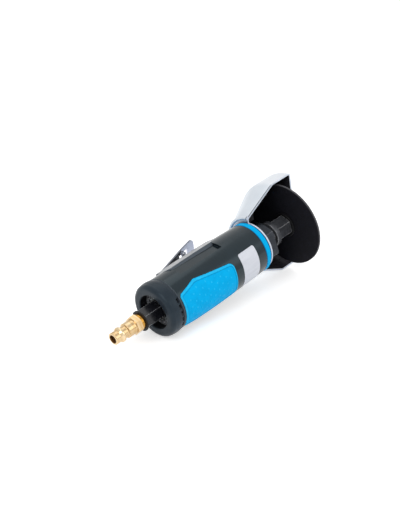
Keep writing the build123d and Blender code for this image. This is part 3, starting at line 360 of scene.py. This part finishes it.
finishes["abrasive"] = abrasiveFinish("gritDisc", discLook)
for node in frame["nodes"].values():
    for materialSlot in node.material_slots:
        materialSlot.material = finishes[materialSlot.material.name.split(".")[0]]
ownFinish = dict(inlet_bushing=bushingSteel, inner_flange=flangeBlack, guard=hoodPlate, disc_arbor=arborSteel,
                 rear_cap=capPolymer, throttle_lever=leverPlate, front_ring=ringPolymer)
for nodeName, finish in ownFinish.items():
    frame["nodes"][nodeName].material_slots[0].material = finish
print("finishes made,", len(finishes))


# Coats on parts of a piece, picked face by face
def facesOf(piece):  # each face with its centre in mm and its normal, in the tool's frame
    turnBack = toolBack.to_3x3()
    for polygon in piece.data.polygons:
        centre = toolBack @ polygon.center * perMetre
        yield polygon, centre, turnBack @ polygon.normal


def axisGap(point):
    return math.hypot(point.y, point.z)


def addCoat(piece, finish):
    piece.data.materials.append(finish)
    return len(piece.data.materials) - 1


def along(tree, direction):
    node = addNode(tree, "ShaderNodeVectorMath", operation="DOT_PRODUCT")
    node.inputs[1].default_value = direction
    tree.links.new(toolVector(tree), node.inputs[0])
    return node.outputs["Value"]


def overlay(tree, mask, colour):
    base = tree.nodes["Principled BSDF"].inputs["Base Color"]
    plain = base.links[0].from_socket
    tree.links.new(blendColours(tree, mask, plain, srgb(*colour)), base)


# The guard is plated outside, dark inside and bare along its cut edge
hoodInside = dict(fromR=20.0, cutY=1.9, cutTurn=math.radians(2.0), cutNear=0.05, heartX=36.0, heartR=22.0)
# Painted light on the guard: a dark reflection line by the cut edge and a paler highlight on the skirt
hoodPaintedLight = dict(width=1.1, soft=0.3, amount=0.9, colour=(52, 56, 62), skirtX=34.5, skirtSoft=3.0,
                 skirtSheenColour=(244, 246, 250), skirtSheenAmount=0.45)
# Painted shade in the guard's corner round the blue ring
hoodFootShade = dict(fromX=1.3, toX=2.6, fromR=22.4, toR=24.8, amount=0.75, colour=(112, 120, 136))


def coatHood(hood, look):
    inside = addCoat(hood, darkInsideAndShade)
    bare = addCoat(hood, cutEdge)
    for polygon, centre, normal in facesOf(hood):
        if axisGap(centre) < look["fromR"]:
            continue
        cutGap = centre.y * math.cos(look["cutTurn"]) - centre.z * math.sin(look["cutTurn"]) - look["cutY"]
        outward = Vector((0, centre.y, centre.z)).normalized()
        heart = Vector((look["heartX"], 0, 0)) + outward * look["heartR"]  # a point inside the hood
        if cutGap < look["cutNear"]:
            polygon.material_index = bare
        elif normal.dot(heart - centre) > 0:
            polygon.material_index = inside


# A painted dark reflection as a line along the cone's cut edge, and a painted highlight that makes the skirt
# paler
def paintHoodShadeAndSheen(material, hood, look):
    tree = material.node_tree
    across = along(tree, (0, math.cos(hood["cutTurn"]), -math.sin(hood["cutTurn"])))
    skirtX = look["skirtX"] * mm
    skirtSheen = spread(tree, along(tree, (1, 0, 0)), skirtX - look["skirtSoft"] * mm, skirtX, 0.0, 1.0)
    overlay(tree, calc(tree, "MULTIPLY", skirtSheen, look["skirtSheenAmount"]), look["skirtSheenColour"])
    far = (hood["cutY"] + look["width"]) * mm
    cutShade = spread(tree, across, far, far - look["soft"] * mm, 0.0, look["amount"])
    overlay(tree, calc(tree, "MULTIPLY", cutShade, calc(tree, "SUBTRACT", 1.0, skirtSheen)), look["colour"])


# Painted shade: the guard is darkened in the corner round the blue ring
def shadeFoot(material, look):
    tree = material.node_tree
    behind = spread(tree, along(tree, (1, 0, 0)), look["toX"] * mm, look["fromX"] * mm, 0.0, look["amount"])
    reach = spread(tree, reachOf(tree, toolVector(tree)), look["toR"] * mm, look["fromR"] * mm, 0.0, 1.0)
    overlay(tree, calc(tree, "MULTIPLY", behind, reach), look["colour"])


coatHood(frame["nodes"]["guard"], hoodInside)
paintHoodShadeAndSheen(hoodPlate, hoodInside, hoodPaintedLight)
shadeFoot(hoodPlate, hoodFootShade)

# Painted shade: a darker line along each edge of the blue ring, where the gaps at its edges lie in shade
ringEdgeShade = dict(rearX=-5.9, frontX=-2.3, soft=0.5, colour=(0, 92, 150), amount=0.85)


def shadeRingEdges(material, look):
    tree = material.node_tree
    x = along(tree, (1, 0, 0))
    rear = spread(tree, x, look["rearX"] * mm, (look["rearX"] - look["soft"]) * mm, 0.0, look["amount"])
    front = spread(tree, x, look["frontX"] * mm, (look["frontX"] + look["soft"]) * mm, 0.0, look["amount"])
    overlay(tree, calc(tree, "MAXIMUM", rear, front), look["colour"])


shadeRingEdges(ringPolymer, ringEdgeShade)

# Painted shade: the lever is darkened on its underside and greyed on its sides
leverShade = dict(frontX=-47.0, facing=-0.5, sideFacing=0.7)


def shadeLever(lever, look):
    underShade = addCoat(lever, darkInsideAndShade)
    side = addCoat(lever, leverSideShade)
    for polygon, centre, normal in facesOf(lever):
        if centre.x < look["frontX"] and normal.y < look["facing"]:
            polygon.material_index = underShade
        elif abs(normal.z) > look["sideFacing"]:
            polygon.material_index = side


shadeLever(frame["nodes"]["throttle_lever"], leverShade)

# Painted shade: the plug's brass is darker and duller in its bore, and darker at its neck
plugShade = dict(boreR=3.8, boreFacing=0.5, neckRear=-134.7, neckFront=-131.3)


def shadePlug(plug, look):
    boreShade = addCoat(plug, boreShadeBrass)
    neckShade = addCoat(plug, neckShadeBrass)
    for polygon, centre, normal in facesOf(plug):
        if axisGap(centre) < look["boreR"] and abs(normal.x) < look["boreFacing"]:
            polygon.material_index = boreShade
        elif look["neckRear"] < centre.x < look["neckFront"]:
            polygon.material_index = neckShade


shadePlug(frame["nodes"]["coupling_plug"], plugShade)

# The exhaust recess is darkened by painted shade and made duller; painted light makes the walls round the
# slots and the seam at the cap lighter
exhaustRecessShade = dict(rearX=-116.4, frontX=-95.0, maxR=15.2)
exhaustSlotsLight = dict(rearX=-112.0, frontX=-103.0, leastR=15.3, maxR=22.0, endFacing=0.3)


def shadeRecess(piece, look):
    coat = addCoat(piece, recessShade)
    for polygon, centre, normal in facesOf(piece):
        inward = centre.y * normal.y + centre.z * normal.z < 0
        if look["rearX"] < centre.x < look["frontX"] and axisGap(centre) < look["maxR"] and inward:
            polygon.material_index = coat


def lightenSlots(piece, look):
    coat = addCoat(piece, panelWallLight)
    for polygon, centre, normal in facesOf(piece):
        reach = axisGap(centre)
        onWall = reach < look["maxR"] or abs(normal.x) > look["endFacing"]
        if look["rearX"] < centre.x < look["frontX"] and reach > look["leastR"] and onWall:
            polygon.material_index = coat


for nodeName in ("rear_cap", "handle_housing"):
    shadeRecess(frame["nodes"][nodeName], exhaustRecessShade)
    lightenSlots(frame["nodes"][nodeName], exhaustSlotsLight)

# Painted light: the side walls of the long panels are lightened
panelWallsLit = dict(wallY=5.75, nearby=0.1, facing=-0.9, leastZ=19.5, rearX=-88.5, frontX=-40.5)


def lightenPanelWalls(housing, look):
    coat = addCoat(housing, panelWallLight)
    for polygon, centre, normal in facesOf(housing):
        onWall = abs(centre.y - look["wallY"]) < look["nearby"] and normal.y < look["facing"]
        if onWall and abs(centre.z) > look["leastZ"] and look["rearX"] < centre.x < look["frontX"]:
            polygon.material_index = coat


lightenPanelWalls(frame["nodes"]["handle_housing"], panelWallsLit)
print("guard, lever, plug, cap and housing coated")


# Pieces of the scene's own
def addPiece(name, mesh, body, replaced=()):
    piece = bpy.data.objects.new(name, mesh)
    bpy.context.scene.collection.objects.link(piece)
    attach(piece, body)
    if replaced:
        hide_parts(*replaced)
    return piece


def meshFrom(shape, name, *surfaces):
    bmesh.ops.recalc_face_normals(shape, faces=shape.faces)
    mesh = bpy.data.meshes.new(name)
    shape.to_mesh(mesh)
    shape.free()
    for surface in surfaces:
        mesh.materials.append(surface)
    return mesh


# Grip pad with a smooth rim and rows of small studs
gripPad = dict(rearX=-102.8, wideX=-84.3, frontX=-44.0, rearHalf=14.5, wideHalf=18.6, frontHalf=14.2,
               rearRound=2.5, wideRound=6.0, frontRound=4.5, roundSteps=10, cell=0.36, edgeRoll=0.5,
               rimWidth=1.3, rimHeight=0.5, rimFall=0.8, fieldHeight=0.16, studPitch=10.0, studStart=-1.0,
               rowPitch=2.9, rowStart=-0.8, studR=0.95, studHeight=0.2, studTop=0.7, studFrom=0.3,
               studFull=1.0, sink=0.9)
barrel = dict(bellyR=23.5, bellyX=-57.0, sweepR=1250.0)  # the housing's own curve


def skinRadius(x):
    return barrel["bellyR"] - barrel["sweepR"] + np.sqrt(barrel["sweepR"] ** 2 - (x - barrel["bellyX"]) ** 2)


def roundedOutline(corners, steps):
    outline = []
    for index, (x, z, radius) in enumerate(corners):
        here = Vector((x, z))
        before = (Vector(corners[index - 1][:2]) - here).normalized()
        after = (Vector(corners[(index + 1) % len(corners)][:2]) - here).normalized()
        half = before.angle(after) / 2
        centre = here + (before + after).normalized() * radius / math.sin(half)
        first = here + before * radius / math.tan(half) - centre
        last = here + after * radius / math.tan(half) - centre
        sweep = first.angle_signed(last)
        for step in range(steps + 1):
            turn = -sweep * step / steps
            outline.append(centre + Matrix.Rotation(turn, 2) @ first)
    return outline


def nearestOnOutline(outline, xs, zs):
    points = np.array([tuple(p) for p in outline])
    best = np.full(xs.shape, np.inf)
    nearX, nearZ, inside = np.zeros(xs.shape), np.zeros(xs.shape), np.zeros(xs.shape, bool)
    for (ax, az), (bx, bz) in zip(points, np.roll(points, -1, axis=0)):
        dx, dz = bx - ax, bz - az
        span = dx * dx + dz * dz
        if span < 1e-12:  # two points in one place
            continue
        t = np.clip(((xs - ax) * dx + (zs - az) * dz) / span, 0, 1)
        px, pz = ax + t * dx, az + t * dz
        distance = np.hypot(xs - px, zs - pz)
        closer = distance < best
        best = np.where(closer, distance, best)
        nearX = np.where(closer, px, nearX)
        nearZ = np.where(closer, pz, nearZ)
        if az != bz:
            inside ^= ((az > zs) != (bz > zs)) & (xs < ax + (zs - az) * dx / dz)
    return np.where(inside, best, -best), nearX, nearZ


def smoothStep(low, high, value):
    t = np.clip((value - low) / (high - low), 0, 1)
    return t * t * (3 - 2 * t)


def studDistance(pad, x, z):
    row = np.round((z - pad["rowStart"]) / pad["rowPitch"])
    stagger = np.where(row % 2 == 0, 0.0, pad["studPitch"] / 2)  # every other row
    start = pad["studStart"] + stagger
    column = np.round((x - start) / pad["studPitch"])
    return np.hypot(x - start - column * pad["studPitch"], z - pad["rowStart"] - row * pad["rowPitch"])


def padHeight(pad, x, z, depth):
    roll = np.clip(depth / pad["edgeRoll"], 0, 1)
    height = pad["rimHeight"] * np.sqrt(np.clip(1 - (1 - roll) ** 2, 0, 1))
    field = pad["rimWidth"] + pad["rimFall"]
    height = height + (pad["fieldHeight"] - pad["rimHeight"]) * smoothStep(pad["rimWidth"], field, depth)
    dome = np.clip(1 - (studDistance(pad, x, z) / pad["studR"]) ** 2, 0, 1)
    keep = smoothStep(field + pad["studFrom"], field + pad["studFull"], depth)
    return height + pad["studHeight"] * dome * (2 - dome) * keep


# Band 1 takes the painted highlight finish, band 2 the painted shade finish
def padBand(pad, x, z, depth):  # 0 is the field, 1 is raised, 2 is the groove inside the rim
    field = pad["rimWidth"] + pad["rimFall"]
    if depth < pad["rimWidth"]:
        return 1
    if depth < field:
        return 2
    onStud = studDistance(pad, x, z) < pad["studR"] * pad["studTop"]
    return 1 if depth > field + pad["studR"] and onStud else 0


def padGrid(pad):  # points on the pad's top, how deep each lies inside the outline, and which are kept
    half = [(pad[end + "X"], pad[end + "Half"], pad[end + "Round"]) for end in ("rear", "wide", "front")]
    corners = [(x, -z, radius) for x, z, radius in half] + half[::-1]
    outline = roundedOutline(corners, pad["roundSteps"])
    xs = np.arange(pad["rearX"] - pad["cell"], pad["frontX"] + 2 * pad["cell"], pad["cell"])
    zs = np.arange(-pad["wideHalf"] - pad["cell"], pad["wideHalf"] + 2 * pad["cell"], pad["cell"])
    gridX, gridZ = np.meshgrid(xs, zs, indexing="ij")
    depth, nearX, nearZ = nearestOnOutline(outline, gridX, gridZ)
    snap = depth < pad["cell"] / 2  # edge points move onto the outline
    gridX, gridZ = np.where(snap, nearX, gridX), np.where(snap, nearZ, gridZ)
    keep = depth > -pad["cell"] / 2
    depth = np.where(snap, 0.0, depth)
    radius = skinRadius(gridX) + padHeight(pad, gridX, gridZ, depth)
    gridY = -np.sqrt(radius ** 2 - gridZ ** 2)
    return gridX, gridY, gridZ, depth, keep


def makeGripPad(pad):
    gridX, gridY, gridZ, depth, keep = padGrid(pad)
    rows, columns = keep.shape
    shape = bmesh.new()
    made = {}

    def corner(i, j):
        if (i, j) not in made:
            made[i, j] = shape.verts.new(place(gridX[i, j], gridY[i, j], gridZ[i, j]))
        return made[i, j]

    for i in range(rows - 1):
        for j in range(columns - 1):
            block = np.s_[i:i + 2, j:j + 2]
            if keep[block].all():
                around = ((i, j), (i + 1, j), (i + 1, j + 1), (i, j + 1))
                face = shape.faces.new([corner(*where) for where in around])
                middle = [grid[block].mean() for grid in (gridX, gridZ, depth)]
                face.material_index = padBand(pad, *middle)
    rim = [edge for edge in shape.edges if edge.is_boundary]
    for vert in bmesh.ops.extrude_edge_only(shape, edges=rim)["geom"]:  # the rim runs down into the housing
        if isinstance(vert, bmesh.types.BMVert):
            here = toolBack @ vert.co
            radial = Vector((0, here.y, here.z)).normalized()
            vert.co = toolFrame @ (here - radial * pad["sink"] * mm)
    for face in shape.faces:
        face.smooth = True
    mesh = meshFrom(shape, "gripPad", finishes["grip_polymer"], gripRaisedHighlight, gripGrooveShade)
    addPiece("gripPad", mesh, "handle", ["palm_pad"])


makeGripPad(gripPad)
print("grip pad made")

# Flat shoulder of the housing on each side of the lever, with a ramp down to the long panel
leverShoulder = dict(rearX=-94.5, frontX=-20.0, frontFade=16.0, lowFade=7.0, rearFade=1.2,
                     faceTurn=math.radians(60), lowEnd=-6.8, crest=8.4, rise=0.05, sink=0.5,
                     wallLean=math.radians(3), faceSteps=8, steps=90)
panel = dict(rearX=-88.0, frontX=-41.0, rearDepth=0.7, frontDepth=2.2, footLead=1.0, rampY=3.9, rampSink=0.12)


def panelFloor(x):
    share = (x - panel["rearX"]) / (panel["frontX"] - panel["rearX"])
    rearZ = skinRadius(panel["rearX"]) - panel["rearDepth"]
    return float(rearZ + (skinRadius(panel["frontX"]) - panel["frontDepth"] - rearZ) * share)


def shoulderSection(shoulder, x):
    skin = float(skinRadius(x))
    base = skin - shoulder["sink"]
    fade = smoothStep(shoulder["frontX"] - shoulder["frontFade"], shoulder["frontX"], x)
    fade = max(fade, 1 - smoothStep(shoulder["rearX"], shoulder["rearX"] + shoulder["rearFade"], x))
    # Past the panel's ends the low part of the face runs out
    beyond = smoothStep(panel["frontX"] - panel["footLead"], panel["frontX"] + shoulder["lowFade"], x)
    beyond = max(beyond, 1 - smoothStep(shoulder["rearX"], panel["rearX"], x))
    lowEnd = shoulder["lowEnd"] * (1 - beyond)
    section = []
    for step in range(shoulder["faceSteps"] + 1):
        reach = lowEnd + (shoulder["crest"] - lowEnd) * step / shoulder["faceSteps"]
        radius = math.hypot(skin + shoulder["rise"], reach)
        angle = shoulder["faceTurn"] - math.atan2(reach, skin + shoulder["rise"])
        section.append((base + (radius - base) * (1 - fade), angle))
    section.append((base, section[-1][1] - shoulder["wallLean"]))
    if panel["rearX"] < x < panel["frontX"]:
        footZ = panelFloor(x) - panel["rampSink"]
        section.append((math.hypot(panel["rampY"], footZ), math.atan2(footZ, panel["rampY"])))
    else:
        section.append((base, section[0][1] + shoulder["wallLean"]))
    return section


# A skin over a row of closed sections; closing picks the finish of the strip that closes each
def skinSections(name, sections, surfaces, closing=0):
    shape = bmesh.new()
    loops = [[shape.verts.new(point) for point in section] for section in sections]
    for first, second in zip(loops, loops[1:]):
        for index in range(len(first)):
            face = shape.faces.new((first[index - 1], first[index], second[index], second[index - 1]))
            face.material_index = closing if index == 0 else 0
    shape.faces.new(loops[0])
    shape.faces.new(loops[-1])
    return meshFrom(shape, name, *surfaces)


def makeShoulder(name, shoulder, side):
    sections = []
    for step in range(shoulder["steps"] + 1):
        x = shoulder["rearX"] + (shoulder["frontX"] - shoulder["rearX"]) * step / shoulder["steps"]
        section = shoulderSection(shoulder, x)
        sections.append([place(x, r * math.cos(a), side * r * math.sin(a)) for r, a in section])
    # The closing strip, the ramp, takes the panel walls' painted light
    mesh = skinSections(name, sections, (shoulderPolymer, panelWallLight), closing=1)
    addPiece(name, mesh, "handle")


makeShoulder("shoulderUpper", leverShoulder, 1)
makeShoulder("shoulderLower", leverShoulder, -1)
print("shoulders made")

# The guard's foot is turned out in a bead round the ring
hoodBead = dict(x=0.36, ringR=26.1, beadR=1.6, steps=72, sides=16)


def makeHoodBead(bead, hood):
    halfSweep = math.acos(hood["cutY"] / bead["ringR"])
    sections = []
    for step in range(bead["steps"] + 1):
        turn = halfSweep * (2 * step / bead["steps"] - 1) - hood["cutTurn"]
        section = []
        for side in range(bead["sides"]):
            lean = math.tau * side / bead["sides"]
            radius = bead["ringR"] + bead["beadR"] * math.cos(lean)
            x = bead["x"] + bead["beadR"] * math.sin(lean)
            section.append(place(x, radius * math.cos(turn), radius * math.sin(turn)))
        sections.append(section)
    mesh = skinSections("hoodBead", sections, (hoodPlate, cutEdge))
    for polygon in mesh.polygons:
        onSide = len(polygon.vertices) == 4
        polygon.use_smooth = onSide
        polygon.material_index = 0 if onSide else 1  # the two ends show bare metal
    addPiece("hoodBead", mesh, "guard")


makeHoodBead(hoodBead, hoodInside)
print("bead made")

# Exhaust screen: a punched ring behind the slots and the recess. A hole's radius is a share of its cell
screen = dict(x=-109.8, innerR=10.55, outerR=14.85, sheet=0.6, columns=44, rows=3, hole=0.40, sides=10,
              merge=0.001)


def screenPoint(ring, column, row):  # column and row count along and across the ring
    angle = math.tau * column / ring["columns"]
    radius = ring["innerR"] + (ring["outerR"] - ring["innerR"]) * row / ring["rows"]
    return place(ring["x"], radius * math.cos(angle), radius * math.sin(angle))


def makeScreen(ring):
    shape = bmesh.new()
    for column in range(ring["columns"]):
        for row in range(ring["rows"]):
            midColumn = column + 0.5 + (row % 2) / 2  # every other row is staggered
            midRow = row + 0.5
            border, hole = [], []
            for side in range(ring["sides"]):
                angle = math.tau * side / ring["sides"]
                u, v = math.cos(angle), math.sin(angle)
                toSquare = 0.5 / max(abs(u), abs(v))
                for loop, reach in ((border, toSquare), (hole, ring["hole"])):
                    loop.append(shape.verts.new(screenPoint(ring, midColumn + reach * u, midRow + reach * v)))
            for side in range(ring["sides"]):
                shape.faces.new((border[side - 1], border[side], hole[side], hole[side - 1]))
    bmesh.ops.remove_doubles(shape, verts=shape.verts, dist=ring["merge"] * mm)
    mesh = meshFrom(shape, "exhaustScreen", finishes["screen_metal"])
    piece = addPiece("exhaustScreen", mesh, "handle", ["exhaust_screen"])
    thicken = piece.modifiers.new("thickness", "SOLIDIFY")
    thicken.thickness = ring["sheet"] * mm
    thicken.offset = 0.0


makeScreen(screen)
print("screen punched")

# Wound springs
latchSpring = dict(coilR=1.75, pitch=1.0, turns=3, wire=0.5, perTurn=28)
valveSpring = dict(x=-84.0, lowY=-8.55, highY=0.75, coilR=2.7, wire=0.7, turns=5, perTurn=28)


def coilSteps(spring):  # the turn and the share of the length at each point of a coil
    count = spring["turns"] * spring["perTurn"]
    for step in range(count + 1):
        yield math.tau * step / spring["perTurn"], step / count


def tubeAlong(name, points, radius):
    curve = bpy.data.curves.new(name, "CURVE")
    curve.dimensions = "3D"
    curve.bevel_depth = radius * mm
    curve.bevel_resolution = 3
    curve.use_fill_caps = True
    spline = curve.splines.new("POLY")
    spline.points.add(len(points) - 1)
    for point, where in zip(spline.points, points):
        point.co = (*where, 1.0)
    holder = bpy.data.objects.new(name, curve)
    mesh = bpy.data.meshes.new_from_object(holder)
    bpy.data.objects.remove(holder)
    for polygon in mesh.polygons:
        polygon.use_smooth = True
    mesh.materials.append(finishes["bright_steel"])
    return mesh


def makeLatchSpring(spring):
    middle = toolBack @ Vector(jointOf["latch_fold"]["pos_m"]) * perMetre
    points = []
    for turn, share in coilSteps(spring):
        x = middle.x + spring["coilR"] * math.sin(turn)
        y = middle.y + spring["coilR"] * math.cos(turn)
        points.append(place(x, y, spring["pitch"] * spring["turns"] * (0.5 - share)))
    mesh = tubeAlong("latchCoil", points, spring["wire"] / 2)
    addPiece("latchCoil", mesh, "lever", ["latch_spring"])


def makeValveSpring(spring):
    points = []
    for turn, share in coilSteps(spring):
        x = spring["x"] + spring["coilR"] * math.cos(turn)
        y = spring["lowY"] + (spring["highY"] - spring["lowY"]) * share
        points.append(place(x, y, spring["coilR"] * math.sin(turn)))
    mesh = tubeAlong("valveCoil", points, spring["wire"] / 2)
    piece = addPiece("valveCoil", mesh, "handle", ["valve_spring"])
    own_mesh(piece)


makeLatchSpring(latchSpring)
makeValveSpring(valveSpring)
print("springs wound")

# Floor, light and camera, in metres
studio = dict(floorSize=8.0, floorGrid=8, floorColour=(0.93, 0.93, 0.93, 1), floorRough=0.9, lift=0.48,
              worldLight=0.70, lampAim=(0, 0, 0.04))
lamps = dict(keyLamp=dict(where=(-0.9, -0.5, 1.2), size=0.9, power=5.0),
             fillLamp=dict(where=(0.5, -1.2, 0.8), size=1.0, power=2.4),
             topLamp=dict(where=(0.2, 0.5, 1.4), size=1.2, power=2.4))
photoView = dict(where=(-0.573489, -0.563792, 0.443887), forward=(0.63232, 0.63345, -0.44599),
                 up=(0.33314, 0.29741, 0.89474), sensor=36.0, lens=99.13, clipStart=0.01)


def seenDirectly(tree):  # by the camera, or in a reflection or through glass
    path = addNode(tree, "ShaderNodeLightPath")
    seen = calc(tree, "MAXIMUM", path.outputs["Is Camera Ray"], path.outputs["Is Glossy Ray"])
    return calc(tree, "MAXIMUM", seen, path.outputs["Is Transmission Ray"])


def makeFloor(look):
    shape = bmesh.new()
    grid = look["floorGrid"]
    bmesh.ops.create_grid(shape, x_segments=grid, y_segments=grid, size=look["floorSize"] / 2)
    mesh = bpy.data.meshes.new("floor")
    shape.to_mesh(mesh)
    shape.free()
    floor = bpy.data.objects.new("floor", mesh)
    bpy.context.scene.collection.objects.link(floor)
    material, tree, shader = startMaterial("paleFloor")
    shader.inputs["Base Color"].default_value = look["floorColour"]
    shader.inputs["Roughness"].default_value = look["floorRough"]
    shader.inputs["Specular IOR Level"].default_value = 0.0
    shader.inputs["Emission Color"].default_value = (1, 1, 1, 1)
    strength = calc(tree, "MULTIPLY", seenDirectly(tree), look["lift"])
    tree.links.new(strength, shader.inputs["Emission Strength"])
    mesh.materials.append(material)


def makeWorld(look):
    world = bpy.data.worlds.new("studioWorld")
    bpy.context.scene.world = world
    world.use_nodes = True
    tree = world.node_tree
    backdrop = tree.nodes["Background"]
    backdrop.inputs["Color"].default_value = (1, 1, 1, 1)
    strength = spread(tree, seenDirectly(tree), 0.0, 1.0, look["worldLight"], 1.0)
    tree.links.new(strength, backdrop.inputs["Strength"])


def addLamp(name, look, aim):
    lamp = bpy.data.lights.new(name, "AREA")
    lamp.shape = "DISK"
    lamp.size = look["size"]
    lamp.energy = look["power"]
    holder = bpy.data.objects.new(name, lamp)
    bpy.context.scene.collection.objects.link(holder)
    holder.location = look["where"]
    holder.rotation_euler = (Vector(aim) - Vector(look["where"])).to_track_quat("-Z", "Y").to_euler()


def addCamera(view):
    camera = bpy.data.objects.new("photoCamera", bpy.data.cameras.new("photoCamera"))
    bpy.context.scene.collection.objects.link(camera)
    camera.data.sensor_fit = "HORIZONTAL"
    camera.data.sensor_width = view["sensor"]
    camera.data.lens = view["lens"]
    camera.data.clip_start = view["clipStart"]
    forward = Vector(view["forward"]).normalized()
    right = forward.cross(Vector(view["up"])).normalized()
    up = right.cross(forward)
    turn = Matrix((right, up, -forward)).transposed().to_4x4()
    camera.matrix_world = Matrix.Translation(view["where"]) @ turn
    bpy.context.scene.camera = camera


makeFloor(studio)
makeWorld(studio)
for lampName, lampLook in lamps.items():
    addLamp(lampName, lampLook, studio["lampAim"])
addCamera(photoView)
bpy.context.scene.view_settings.view_transform = "Standard"
print("studio lit")

print("scene ready")
